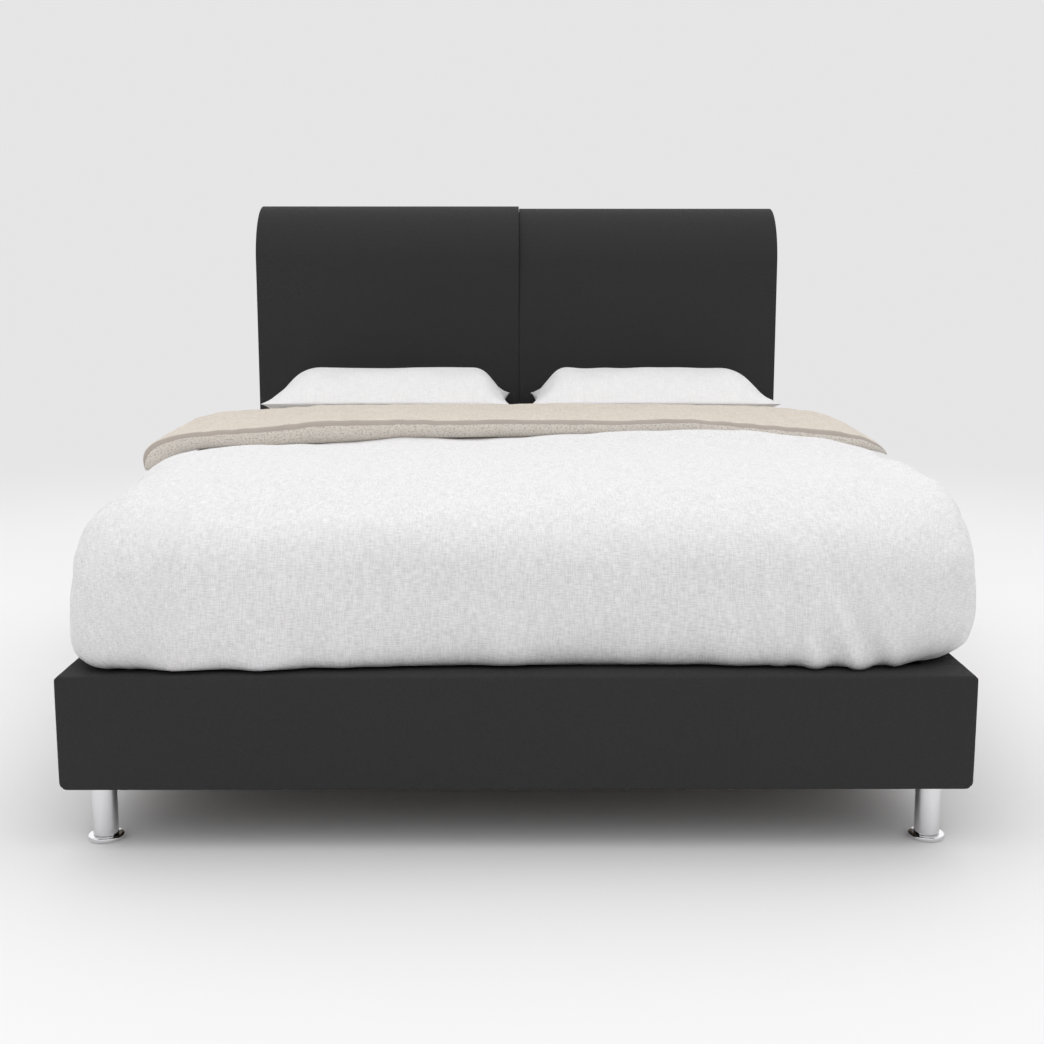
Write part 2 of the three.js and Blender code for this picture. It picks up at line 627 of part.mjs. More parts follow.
const seamX = HEADBOARD_SEAM;
addHeadboardHalf('left', -frameWidth / 2, seamX - CLEARANCE / 2, HEADBOARD_LEFT_RAISE);
addHeadboardHalf('right', seamX + CLEARANCE / 2, frameWidth / 2, 0);
headboardBolts.forEach((x, index) => addHeadboardBolt(index, x));

// ---- bedding ----------------------------------------------------------------------------
// Closed solid through a stack of plan outlines with equal numbers of points.
function loft(rings) {
  const count = rings[0].length;
  const positions = rings.flat().flatMap((point) => [point.x, point.y, point.z]);
  const faces = [];
  for (let ring = 0; ring + 1 < rings.length; ring += 1) {
    for (let i = 0; i < count; i += 1) {
      const next = (i + 1) % count;
      const [a, b] = [ring * count + i, ring * count + next];
      faces.push(a, b, b + count, a, b + count, a + count);
    }
  }
  const outline = (ring) => ring.map((point) => new THREE.Vector2(point.x, point.y));
  const top = (rings.length - 1) * count;
  for (const [a, b, c] of THREE.ShapeUtils.triangulateShape(outline(rings[0]), [])) {
    faces.push(a, c, b);
  }
  for (const [a, b, c] of THREE.ShapeUtils.triangulateShape(outline(rings.at(-1)), [])) {
    faces.push(top + a, top + b, top + c);
  }
  const geometry = new THREE.BufferGeometry();
  geometry.setAttribute('position', new THREE.Float32BufferAttribute(positions, 3));
  geometry.setIndex(faces);
  return geometry;
}

// Plan outline with round corners, as points at one height. Its half width may differ
// between the front (y0) and the back (y1).
function planRing(frontHalf, backHalf, y0, y1, radius, z, segments = 4) {
  const ring = [];
  const corners = [
    [frontHalf - radius, y0 + radius, -90], [backHalf - radius, y1 - radius, 0],
    [radius - backHalf, y1 - radius, 90], [radius - frontHalf, y0 + radius, 180],
  ];
  for (const [cx, cy, start] of corners) {
    for (let step = 0; step <= segments; step += 1) {
      const angle = THREE.MathUtils.degToRad(start + (90 * step) / segments);
      ring.push(new THREE.Vector3(
        cx + radius * Math.cos(angle), cy + radius * Math.sin(angle), z));
    }
  }
  return ring;
}

const mattressFoot = innerFoot + MATTRESS_END_GAP;
const mattressHalf = MATTRESS_WIDTH / 2;
const pillowFront = headFace - PILLOW_BACK_GAP - PILLOW_DEPTH;
const duvetHeadEnd = pillowFront - PILLOW_FRONT_GAP;

// A mattress with rounded edges, as a stack of plan outlines.
function mattressSolid(grow = 0) {
  const steps = [[0, 1], [0.3, 0.3], [1, 0]]; // share of the edge in height and in plan
  const lower = steps.map(([up, inward]) => [mattressBottom - grow + up * MATTRESS_EDGE, inward]);
  const upper = steps.map(([up, inward]) => [mattressTop + grow - up * MATTRESS_EDGE, inward]);
  return loft([...lower, ...upper.reverse()].map(([z, inward]) => {
    const inset = inward * MATTRESS_EDGE - grow;
    const half = mattressHalf - inset;
    return planRing(half, half, mattressFoot + inset, mattressFoot + MATTRESS_LENGTH - inset,
      MATTRESS_CORNER - inward * MATTRESS_EDGE / 2, z);
  }));
}
add('mattress', mattressSolid(), ticking);

// The duvet's outer form, grown outwards by a layer's thickness. It stands on the rails,
// bulges out over them and rounds over to its top. It runs on past its head end, where the
// finished pieces are cut square.
function duvetForm(grow = 0) {
  const bottom = railTop + CLEARANCE;
  const top = mattressTop + DUVET_THICKNESS + grow;
  const shoulder = top - DUVET_EDGE_DROP;
  const full = bottom + (shoulder - bottom) / 2;
  const frontHalf = mattressHalf + DUVET_SIDE_FRONT + grow;
  const backHalf = mattressHalf + DUVET_SIDE_HEAD + grow;
  const restHalf = frameWidth / 2 - DUVET_REST;
  const rings = [];
  const ring = (z, front, back, setback, inward) => rings.push(planRing(
    front - inward, back - inward, footFace + setback - grow + inward,
    duvetHeadEnd + 2 * DUVET_CORNER, DUVET_CORNER - inward / 3, z, 7));
  for (const share of [0, 0.4, 1]) {
    const out = Math.sin(share * Math.PI / 2);
    ring(bottom + share * (full - bottom), restHalf + (frontHalf - restHalf) * out,
      restHalf + (backHalf - restHalf) * out, DUVET_SETBACK + DUVET_TUCK * (1 - out), 0);
  }
  for (let step = 0; step <= 5; step += 1) {
    const angle = (step / 5) * Math.PI / 2;
    ring(shoulder + DUVET_EDGE_DROP * Math.sin(angle), frontHalf, backHalf, DUVET_SETBACK,
      DUVET_EDGE_REACH * (1 - Math.cos(angle)));
  }
  return loft(rings);
}

function addDuvet() {
  // The mattress goes through the duvet's open underside.
  const beyond = duvetHeadEnd + 3 * DUVET_CORNER;
  const top = mattressTop + DUVET_THICKNESS;
  const head = block(-frameWidth, frameWidth, duvetHeadEnd, beyond, railTop - 1, top + 1);
  const under = block(
    -mattressHalf - CLEARANCE, mattressHalf + CLEARANCE,
    mattressFoot - CLEARANCE, duvetHeadEnd + 1, mattressBottom, mattressTop - MATTRESS_EDGE);
  add('duvet', cut(duvetForm(), mattressSolid(CLEARANCE), under, head), whiteLinen);

  const zone = block(
    -frameWidth, frameWidth, duvetHeadEnd - BLANKET_DEPTH, duvetHeadEnd,
    top - BLANKET_DROP, top + BLANKET_THICKNESS * 2);
  const layer = cut(duvetForm(BLANKET_THICKNESS), duvetForm(CLEARANCE));
  add('turned_back_blanket', overlapOf(layer, zone), beigeLinen);
}
addDuvet();

// A pillow: a stack of plan outlines. They draw in from the seam at mid height to smaller top
// and bottom faces with rounder corners, along a rounded edge.
function addPillow(name, side) {
  const heights = [-1, -0.86, -0.5, 0, 0.5, 0.86, 1];
  const drawIn = (height) => 1 - Math.sqrt(1 - (0.94 * height) ** 2);
  const rings = heights.map((height) => {
    const share = drawIn(height) / drawIn(1);
    const halfX = PILLOW_WIDTH / 2 - share * PILLOW_SIDE_INSET;
    const halfY = PILLOW_DEPTH / 2 - share * PILLOW_END_INSET;
    const radius = PILLOW_SEAM_RADIUS + share * (PILLOW_FACE_RADIUS - PILLOW_SEAM_RADIUS);
    return planRing(halfX, halfX, -halfY, halfY, radius, (height * PILLOW_HEIGHT) / 2);
  });
  add(`${name}_pillow`, loft(rings), whiteLinen).position.set(
    side * PILLOW_MIDDLE, pillowFront + PILLOW_DEPTH / 2,
    mattressTop + CLEARANCE + PILLOW_HEIGHT / 2);
}
for (const [name, side] of sides) addPillow(name, side);

export default bed;
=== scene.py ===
"""A bed with a rolled leather headboard, dressed with a duvet and two pillows."""
import math

import bpy
import numpy as np
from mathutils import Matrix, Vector


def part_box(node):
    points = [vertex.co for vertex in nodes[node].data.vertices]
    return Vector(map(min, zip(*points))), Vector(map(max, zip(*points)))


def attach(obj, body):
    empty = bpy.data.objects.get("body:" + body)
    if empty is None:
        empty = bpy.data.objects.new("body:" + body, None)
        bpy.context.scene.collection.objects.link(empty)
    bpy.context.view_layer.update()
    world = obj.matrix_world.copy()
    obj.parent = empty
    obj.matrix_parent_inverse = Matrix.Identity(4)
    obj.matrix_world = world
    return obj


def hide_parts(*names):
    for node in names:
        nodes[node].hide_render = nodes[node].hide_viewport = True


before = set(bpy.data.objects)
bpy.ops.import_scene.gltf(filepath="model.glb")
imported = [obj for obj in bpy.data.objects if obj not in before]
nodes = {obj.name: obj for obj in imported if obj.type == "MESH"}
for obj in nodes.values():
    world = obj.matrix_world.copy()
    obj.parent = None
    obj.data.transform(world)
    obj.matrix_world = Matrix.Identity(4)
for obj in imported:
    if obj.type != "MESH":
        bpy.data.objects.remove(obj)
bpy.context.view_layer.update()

scene = bpy.context.scene


# ---- Studio ------------------------------------------------------------------------------
# A white floor that fades into a pale grey surround, under an even dome of light with one
# wide soft lamp overhead. The camera stands in front of the foot rail, a little above the
# bed's height, and looks slightly down.
foot_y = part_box("foot_rail_cover")[0].y
head_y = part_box("headboard_right_cover")[0].y
bed_middle = Vector((0.0, (foot_y + head_y) / 2, 0.0))

CAMERA_DISTANCE, CAMERA_HEIGHT = 2.4275, 0.9861
CAMERA_PITCH, CAMERA_YAW = math.radians(9.364), math.radians(0.218)
SURROUND = (0.795, 0.788, 0.797, 1.0)
FLOOR_WHITE = (0.935, 0.931, 0.934, 1.0)
FLOOR_RADIUS, FLOOR_SIDES = 40.0, 96
FADE_START, FADE_END = 1.9, 5.4
DOME_WHITE = (1.0, 0.995, 1.0, 1.0)
DOME_LOW, DOME_HIGH, DOME_BACK, DOME_HORIZON = 0.60, 0.93, 0.46, 0.35
DOME_CLIMB, BACK_CLIMB, HORIZON_CLIMB = (-0.05, 0.9), (0.0, 0.9), (0.0, 0.18)
LAMP_POWER, LAMP_HEIGHT, LAMP_FORWARD = 20.0, 3.6, 1.0
LAMP_WIDTH, LAMP_LENGTH = 3.6, 3.2

lens = bpy.data.cameras.new("camera")
lens.lens = 50.0
lens.sensor_width = 36.0
camera = bpy.data.objects.new("camera", lens)
camera.location = (0.0, foot_y - CAMERA_DISTANCE, CAMERA_HEIGHT)
camera.rotation_euler = (math.pi / 2 - CAMERA_PITCH, 0.0, -CAMERA_YAW)
scene.collection.objects.link(camera)
scene.camera = camera
scene.view_settings.view_transform = "Standard"


def set_input(tree, socket, value):
    """Links a socket to another one, or gives it a plain value."""
    if isinstance(value, bpy.types.NodeSocket):
        tree.links.new(value, socket)
    else:
        socket.default_value = value


def add_node(tree, kind, inputs=None, **settings):
    made = tree.nodes.new(kind)
    for name, value in settings.items():
        setattr(made, name, value)
    for name, value in (inputs or {}).items():
        set_input(tree, made.inputs[name], value)
    return made


def from_node(tree, kind, inputs=None, **settings):
    """What a new node gives at its first output."""
    return add_node(tree, kind, inputs, **settings).outputs[0]


def maths(tree, operation, first, second=0.0, third=0.0):
    return from_node(tree, "ShaderNodeMath", {0: first, 1: second, 2: third}, operation=operation)


def rise(tree, value, low, high):
    """0 below low, 1 above high, smooth between them."""
    inputs = {"Value": value, "From Min": low, "From Max": high}
    return from_node(tree, "ShaderNodeMapRange", inputs, interpolation_type="SMOOTHSTEP")


def new_material(name):
    """A material with an empty tree, its tree and its output node."""
    material = bpy.data.materials.new(name)
    material.use_nodes = True
    tree = material.node_tree
    tree.nodes.clear()
    return material, tree, tree.nodes.new("ShaderNodeOutputMaterial")


def studio_floor():
    mesh = bpy.data.meshes.new("floor")
    turns = [math.tau * step / FLOOR_SIDES for step in range(FLOOR_SIDES)]
    rim = [(FLOOR_RADIUS * math.cos(turn), FLOOR_RADIUS * math.sin(turn), 0.0) for turn in turns]
    mesh.from_pydata(rim, [], [list(range(FLOOR_SIDES))])
    floor = bpy.data.objects.new("floor", mesh)
    scene.collection.objects.link(floor)
    material, tree, output = new_material("studio_floor")
    place = add_node(tree, "ShaderNodeTexCoord").outputs["Object"]
    from_bed = add_node(tree, "ShaderNodeVectorMath", {0: place, 1: bed_middle}, operation="DISTANCE")
    far = rise(tree, from_bed.outputs["Value"], FADE_START, FADE_END)
    white = from_node(tree, "ShaderNodeBsdfDiffuse", {"Color": FLOOR_WHITE})
    glow = from_node(tree, "ShaderNodeEmission", {"Color": SURROUND, "Strength": 1.0})
    set_input(tree, output.inputs["Surface"],
              from_node(tree, "ShaderNodeMixShader", {0: far, 1: white, 2: glow}))
    mesh.materials.append(material)


def studio_light():
    world = bpy.data.worlds.new("studio")
    scene.world = world
    world.use_nodes = True
    tree = world.node_tree
    tree.nodes.clear()
    direction = add_node(tree, "ShaderNodeTexCoord").outputs["Generated"]
    way = add_node(tree, "ShaderNodeSeparateXYZ", {0: direction}).outputs
    climb = rise(tree, way["Z"], *DOME_CLIMB)
    upper = maths(tree, "MULTIPLY_ADD", climb, DOME_HIGH - DOME_LOW, DOME_LOW)
    strength = maths(tree, "MULTIPLY_ADD", rise(tree, way["Y"], *BACK_CLIMB), DOME_BACK, upper)
    above = rise(tree, way["Z"], *HORIZON_CLIMB)
    horizon = maths(tree, "MULTIPLY_ADD", above, 1 - DOME_HORIZON, DOME_HORIZON)
    strength = maths(tree, "MULTIPLY", strength, horizon)
    dome = from_node(tree, "ShaderNodeBackground", {"Color": DOME_WHITE, "Strength": strength})
    backdrop = from_node(tree, "ShaderNodeBackground", {"Color": SURROUND, "Strength": 1.0})
    seen = add_node(tree, "ShaderNodeLightPath").outputs["Is Camera Ray"]
    both = from_node(tree, "ShaderNodeMixShader", {0: seen, 1: dome, 2: backdrop})
    set_input(tree, tree.nodes.new("ShaderNodeOutputWorld").inputs["Surface"], both)

    lamp = bpy.data.lights.new("overhead", "AREA")
    lamp.shape = "RECTANGLE"
    lamp.size, lamp.size_y = LAMP_WIDTH, LAMP_LENGTH
    lamp.energy = LAMP_POWER
    overhead = bpy.data.objects.new("overhead", lamp)
    overhead.location = (0.0, bed_middle.y - LAMP_FORWARD, LAMP_HEIGHT)
    scene.collection.objects.link(overhead)


studio_floor()
studio_light()


# ---- Timber boxes, slat ledges and the head rail -------------------------------------------
# Planed softwood: a hollow box inside each rail, a batten along each side that carries the
# slats, and a board behind the mattress. Glued and screwed, and left bare.
PINE_LIGHT, PINE_DARK, PINE_RINGS = (0.34, 0.285, 0.215), (0.24, 0.19, 0.135), 34.0


def new_group(name, inputs, outputs):
    """A shader node group with a Vector and number inputs, and number outputs."""
    group = bpy.data.node_groups.new(name, "ShaderNodeTree")
    group.interface.new_socket("Vector", in_out="INPUT", socket_type="NodeSocketVector")
    for label, value in inputs.items():
        socket = group.interface.new_socket(label, in_out="INPUT", socket_type="NodeSocketFloat")
        socket.default_value = value
    for label in outputs:
        group.interface.new_socket(label, in_out="OUTPUT", socket_type="NodeSocketFloat")
    return group, group.nodes.new("NodeGroupInput").outputs, group.nodes.new("NodeGroupOutput").inputs


def use_group(tree, group, vector, **values):
    """Places a group in a material with that material's own values, and gives its outputs."""
    inputs = {label.replace("_", " "): value for label, value in values.items()}
    return add_node(tree, "ShaderNodeGroup", {"Vector": vector, **inputs}, node_tree=group).outputs


def weighted(tree, first, first_share, second, second_share):
    """The sum of two values, each times its share."""
    scaled = maths(tree, "MULTIPLY", second, second_share)
    return maths(tree, "MULTIPLY_ADD", first, first_share, scaled)


def noise(tree, vector, scale, detail=3.0, roughness=0.5):
    inputs = {"Vector": vector, "Scale": scale, "Detail": detail, "Roughness": roughness}
    return add_node(tree, "ShaderNodeTexNoise", inputs).outputs["Fac"]


def stretched(tree, vector, scale):
    return from_node(tree, "ShaderNodeMapping", {"Vector": vector, "Scale": scale})


def object_place(tree):
    return add_node(tree, "ShaderNodeTexCoord").outputs["Object"]


def begin_finish(name, **constants):
    """A Principled material, with what is the same all over set on the shader's own sockets."""
    material, tree, output = new_material(name)
    inputs = {label.replace("_", " "): value for label, value in constants.items()}
    shader = add_node(tree, "ShaderNodeBsdfPrincipled", inputs)
    set_input(tree, output.inputs["Surface"], shader.outputs[0])
    return material, tree, shader


def between(tree, share, low, high):
    """A number or colour that goes from low to high with a share from 0 to 1."""
    if isinstance(low, float):
        return maths(tree, "MULTIPLY_ADD", share, high - low, low)
    made = add_node(tree, "ShaderNodeMix", data_type="RGBA")
    for index, value in ((0, share), (6, colour(low)), (7, colour(high))):
        set_input(tree, made.inputs[index], value)
    return made.outputs[2]


def colour(value):
    return value if isinstance(value, bpy.types.NodeSocket) else (*value, 1.0)


def vary(tree, shader, label, share, low, high):
    set_input(tree, shader.inputs[label], between(tree, share, low, high))


def emboss(tree, shader, height, distance):
    bump = from_node(tree, "ShaderNodeBump", {"Height": height, "Distance": distance})
    set_input(tree, shader.inputs["Normal"], bump)


def wood_grain_group():
    """Growth rings and pores of wood whose grain runs along the vector's X axis."""
    group, given, gives = new_group("wood_grain", {"Rings": 34.0, "Pores": 900.0}, ("Ring", "Pore"))
    along = stretched(group, given["Vector"], (0.05, 1.0, 1.0))
    bands = {"Vector": along, "Scale": given["Rings"], "Distortion": 5.0, "Detail": 2.0}
    rings = add_node(group, "ShaderNodeTexWave", bands, bands_direction="DIAGONAL").outputs["Fac"]
    set_input(group, gives["Ring"], rings)
    set_input(group, gives["Pore"], noise(group, along, given["Pores"], 2.0))
    return group


def wood(name, light, dark, turned_round, rings):
    """Bare wood; turned_round when the grain runs along Y."""
    material, tree, shader = begin_finish(name, Specular_IOR_Level=0.35)
    place = object_place(tree)
    if turned_round:
        turn = {"Vector": place, "Rotation": (0.0, 0.0, math.pi / 2)}
        place = from_node(tree, "ShaderNodeMapping", turn)
    grain = use_group(tree, wood_grain, place, Rings=rings)
    share = weighted(tree, noise(tree, place, 6.0), 0.5, grain["Ring"], 0.6)
    vary(tree, shader, "Base Color", share, light, dark)
    vary(tree, shader, "Roughness", grain["Pore"], 0.5, 0.72)
    emboss(tree, shader, grain["Pore"], 0.0003)
    return material


def dress(material, *names):
    """Gives CAD nodes that keep their shape a finish."""
    for name in names:
        for slot in nodes[name].material_slots:
            slot.material = material


wood_grain = wood_grain_group()
pine_across = wood("pine_across", PINE_LIGHT, PINE_DARK, False, PINE_RINGS)
pine_along = wood("pine_along", PINE_LIGHT, PINE_DARK, True, PINE_RINGS)
dress(pine_across, "foot_rail_core", "head_rail")
dress(pine_along, "left_rail_core", "right_rail_core", "left_slat_ledge", "right_slat_ledge")


# ---- Steel brackets, centre beam and screws -------------------------------------------------
# Folded sheet and tube, powder-coated black: a bracket in each corner, a beam under the middle
# of the slats in two saddles, and its leg. The pan-head screws that hold them are zinc-plated.
POWDER_BLACK, POWDER_GREY = (0.012, 0.012, 0.013), (0.022, 0.022, 0.023)
ZINC_LIGHT, ZINC_DARK = (0.62, 0.63, 0.64), (0.42, 0.43, 0.45)
SCREW_HEAD_RADIUS, SCREW_HEAD_HEIGHT = 0.0058, 0.0022
SCREW_HEIGHTS, SCREW_FROM_CORNER = (0.018, 0.040, 0.062), 0.034
BRACKET_PLATE = 0.003
SHARP_ANGLE = math.radians(38)


def textured_black(name, grain, mottle, darker, paler, roughness, depth):
    """Near black with a fine even texture, as powder coat and moulded plastic have."""
    material, tree, shader = begin_finish(name, Specular_IOR_Level=0.5)
    place = object_place(tree)
    texture = noise(tree, place, *grain)
    vary(tree, shader, "Base Color", noise(tree, place, mottle), darker, paler)
    vary(tree, shader, "Roughness", texture, *roughness)
    emboss(tree, shader, texture, depth)
    return material


def zinc_plate():
    material, tree, shader = begin_finish("zinc_plate", Metallic=1.0)
    place = object_place(tree)
    flakes = from_node(tree, "ShaderNodeTexVoronoi", {"Vector": place, "Scale": 420.0})
    vary(tree, shader, "Base Color", flakes, ZINC_LIGHT, ZINC_DARK)
    vary(tree, shader, "Roughness", noise(tree, place, 260.0), 0.28, 0.5)
    emboss(tree, shader, flakes, 0.00008)
    return material


def geometry_tree(name, inputs):
    """A Geometry Nodes tree with named inputs, each given as its socket type."""
    tree = bpy.data.node_groups.new(name, "GeometryNodeTree")
    for label, kind in inputs.items():
        tree.interface.new_socket(label, in_out="INPUT", socket_type=f"NodeSocket{kind}")
    tree.interface.new_socket("Geometry", in_out="OUTPUT", socket_type="NodeSocketGeometry")
    return tree, tree.nodes.new("NodeGroupInput").outputs, tree.nodes.new("NodeGroupOutput").inputs


def close_tree(tree, result, geometry, material):
    """Ends a tree in Realize Instances and Set Material."""
    real = from_node(tree, "GeometryNodeRealizeInstances", {"Geometry": geometry})
    painted = from_node(tree, "GeometryNodeSetMaterial", {"Geometry": real, "Material": material})
    set_input(tree, result["Geometry"], painted)


def evaluated_mesh(piece):
    """A new mesh of the piece as its modifiers leave it."""
    graph = bpy.context.evaluated_depsgraph_get()
    return bpy.data.meshes.new_from_object(piece.evaluated_get(graph), depsgraph=graph)


def grow(name, tree, start=None, **values):
    """Runs a tree on a mesh, or on nothing, and keeps what it makes as a plain mesh."""
    host = bpy.data.objects.new(f"{name}_host", start or bpy.data.meshes.new(f"{name}_host"))
    scene.collection.objects.link(host)
    modifier = host.modifiers.new("grow", "NODES")
    modifier.node_group = tree
    sockets = {item.name: item.identifier for item in tree.interface.items_tree
               if item.in_out == "INPUT"}
    for label, value in values.items():
        modifier[sockets[label.replace("_", " ")]] = value
    mesh = evaluated_mesh(host)
    host.modifiers.remove(modifier)
    bpy.data.objects.remove(host)
    mesh.name = name
    piece = bpy.data.objects.new(name, mesh)
    scene.collection.objects.link(piece)
    mesh.shade_smooth()
    mesh.set_sharp_from_angle(angle=SHARP_ANGLE)
    return piece


def set_on(piece, body, finish_slot, *replaced):
    """Rides a finished piece on its body and hides the CAD nodes it stands for. finish_slot is not
    used.
    """
    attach(piece, body)
    if replaced:
        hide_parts(*replaced)


def screw_tree():
    """Pan-head screws at a mesh's points, each turned so that its head faces the normal."""
    tree, given, result = geometry_tree(
        "screws", {"Geometry": "Geometry", "Radius": "Float", "Height": "Float"})
    ball = {"Segments": 16, "Rings": 8, "Radius": 1.0}
    head = from_node(tree, "GeometryNodeMeshUVSphere", ball)
    sizes = {0: given["Radius"], 1: given["Radius"], 2: given["Height"]}
    scale = from_node(tree, "ShaderNodeCombineXYZ", sizes)
    normal = from_node(tree, "GeometryNodeInputNamedAttribute", {"Name": "facing"},
                       data_type="FLOAT_VECTOR")
    facing = from_node(tree, "FunctionNodeAlignRotationToVector", {"Vector": normal}, axis="Z")
    heads = from_node(tree, "GeometryNodeInstanceOnPoints", {
        "Points": given["Geometry"], "Instance": head, "Rotation": facing, "Scale": scale})
    close_tree(tree, result, heads, zinc)
    return tree


def points_facing(name, rows):
    """A mesh of loose points, each with the way that its screw faces."""
    mesh = bpy.data.meshes.new(name)
    mesh.from_pydata([row[0] for row in rows], [], [])
    facing = mesh.attributes.new("facing", "FLOAT_VECTOR", "POINT")
    facing.data.foreach_set("vector", np.array([row[1] for row in rows], np.float32).ravel())
    return mesh


def bracket_screws():
    """Three screws into the side rail and three into the end rail, in each corner bracket."""
    rows = []
    for end in ("foot", "head"):
        for side in ("left", "right"):
            low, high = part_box(f"{end}_{side}_bracket")
            out_x = 1 if side == "left" else -1
            out_y = 1 if end == "foot" else -1
            plate_x = (low.x if side == "left" else high.x) + out_x * BRACKET_PLATE
            plate_y = (low.y if end == "foot" else high.y) + out_y * BRACKET_PLATE
            for height in SCREW_HEIGHTS:
                z = low.z + height
                rows.append(((plate_x, plate_y + out_y * SCREW_FROM_CORNER, z), (out_x, 0, 0)))
                rows.append(((plate_x + out_x * SCREW_FROM_CORNER, plate_y, z), (0, out_y, 0)))
    return rows


steel = textured_black("powder_coated_steel", (1300.0, 2.0), 30.0, POWDER_BLACK, POWDER_GREY,
                       (0.38, 0.56), 0.0002)
zinc = zinc_plate()
dress(steel, "foot_left_bracket", "foot_right_bracket", "head_left_bracket", "head_right_bracket",
      "foot_beam_saddle", "head_beam_saddle", "centre_beam", "centre_leg")
dress(zinc, *(f"headboard_bolt_{number}" for number in (1, 2, 3, 4)))
screws = grow("bracket_screws", screw_tree(), points_facing("screw_places", bracket_screws()),
              Radius=SCREW_HEAD_RADIUS, Height=SCREW_HEAD_HEIGHT)
set_on(screws, "bed", "zinc")


# ---- Slats and their holders ----------------------------------------------------------------
# Fourteen sprung slats of bent beech ply, flat at both ends where they sit in the pockets of
# two moulded strips, and arched between them.
SLAT_COUNT = 14
SLAT_THICKNESS, SLAT_EDGE = 0.012, 0.0042
SLAT_CAMBER, SLAT_FLAT_END = 0.010, 0.032
SLAT_STEPS, SLAT_EDGE_STEPS = 41, 4
BEECH_LIGHT, BEECH_DARK, BEECH_RINGS = (0.36, 0.30, 0.23), (0.25, 0.20, 0.145), 16.0
PLASTIC_BLACK, PLASTIC_GREY = (0.016, 0.016, 0.017), (0.026, 0.026, 0.027)


def slat_finish():
    """Beech face veneer, with its rings and pores."""
    material, tree, shader = begin_finish("beech_ply", Specular_IOR_Level=0.4)
    place = object_place(tree)
    grain = use_group(tree, wood_grain, place, Rings=BEECH_RINGS)
    share = weighted(tree, noise(tree, place, 4.0), 0.6, grain["Ring"], 0.3)
    vary(tree, shader, "Base Color", share, BEECH_LIGHT, BEECH_DARK)
    vary(tree, shader, "Roughness", grain["Pore"], 0.34, 0.5)
    emboss(tree, shader, grain["Pore"], 0.00012)
    return material


def slat_tree(finish):
    """A row of equal slats: a rounded strip swept along X, arched, and set at equal steps."""
    inputs = {"Count": "Int", "First": "Vector", "Step": "Float", "Half Length": "Float",
              "Width": "Float", "Thickness": "Float", "Edge": "Float", "Flat": "Float",
              "Camber": "Float"}
    tree, given, result = geometry_tree("slats", inputs)
    strip = from_node(tree, "GeometryNodeCurvePrimitiveQuadrilateral",
                      {"Width": given["Width"], "Height": given["Thickness"]})
    rounded = from_node(tree, "GeometryNodeFilletCurve",
                        {"Curve": strip, "Count": SLAT_EDGE_STEPS, "Radius": given["Edge"]},
                        mode="POLY")
    tip = from_node(tree, "ShaderNodeCombineXYZ", {0: given["Half Length"]})
    back = from_node(tree, "ShaderNodeVectorMath", {0: tip, 1: (-1.0, 1.0, 1.0)},
                     operation="MULTIPLY")
    line = from_node(tree, "GeometryNodeCurvePrimitiveLine", {"Start": back, "End": tip})
    path = from_node(tree, "GeometryNodeResampleCurve", {"Curve": line, "Count": SLAT_STEPS})
    upright = from_node(tree, "GeometryNodeSetCurveNormal", {"Curve": path}, mode="Z_UP")
    swept = from_node(tree, "GeometryNodeCurveToMesh",
                      {"Curve": upright, "Profile Curve": rounded, "Fill Caps": True})
    x = from_node(tree, "ShaderNodeSeparateXYZ", {0: from_node(tree, "GeometryNodeInputPosition")})
    share = maths(tree, "ABSOLUTE", maths(tree, "DIVIDE", x, given["Flat"]))
    share = maths(tree, "MINIMUM", share, 1.0)
    arch = maths(tree, "SUBTRACT", 1.0, maths(tree, "POWER", share, 2.0))
    arch = maths(tree, "MULTIPLY", arch, given["Camber"])
    lift = from_node(tree, "ShaderNodeCombineXYZ", {2: arch})
    arched = from_node(tree, "GeometryNodeSetPosition", {"Geometry": swept, "Offset": lift})
    step = from_node(tree, "ShaderNodeCombineXYZ", {1: given["Step"]})
    row = from_node(tree, "GeometryNodeMeshLine",
                    {"Count": given["Count"], "Start Location": given["First"], "Offset": step},
                    mode="OFFSET")
    slats = from_node(tree, "GeometryNodeInstanceOnPoints", {"Points": row, "Instance": arched})
    close_tree(tree, result, slats, finish)
    return tree


slat_names = [f"slat_{number:02d}" for number in range(1, SLAT_COUNT + 1)]
first_low, first_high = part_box(slat_names[0])
last_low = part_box(slat_names[-1])[0]
slat_middle_y = (first_low.y + first_high.y) / 2
slats = grow(
    "slats", slat_tree(slat_finish()), Count=SLAT_COUNT,
    First=(0.0, slat_middle_y, first_low.z + SLAT_THICKNESS / 2),
    Step=(last_low.y - first_low.y) / (SLAT_COUNT - 1), Half_Length=first_high.x,
    Width=first_high.y - first_low.y, Thickness=SLAT_THICKNESS, Edge=SLAT_EDGE,
    Flat=first_high.x - SLAT_FLAT_END, Camber=SLAT_CAMBER)
set_on(slats, "bed", "plywood", *slat_names)
plastic = textured_black("moulded_plastic", (1800.0, 1.0), 40.0, PLASTIC_BLACK, PLASTIC_GREY,
                         (0.42, 0.6), 0.00008)
dress(plastic, "left_slat_holders", "right_slat_holders", "centre_foot")


# ---- Upholstered rails ------------------------------------------------------------------------
# Black leather over a thin layer of foam, stretched round each timber box, turned under and
# stapled. The foot rail runs right across; the side rails butt against its back.
RAIL_EDGE = 0.0045
RAIL_TOP_CORNER, RAIL_BOTTOM_CORNER, RAIL_CORNER_REACH = 0.008, 0.0135, 0.014
RAIL_BUTT_EDGE, RAIL_BUTT_REACH = 0.0012, 0.03
RAIL_SWELL = 0.0012
RAIL_SPACING, EDGE_STEPS = 0.022, 4
TURN_UNDER = 0.018
CORE_PLAY = 0.0002
LEATHER_BLACK, LEATHER_WORN = (0.0305, 0.0305, 0.0306), (0.0375, 0.0375, 0.0376)
LEATHER_ROUGHNESS = 0.76


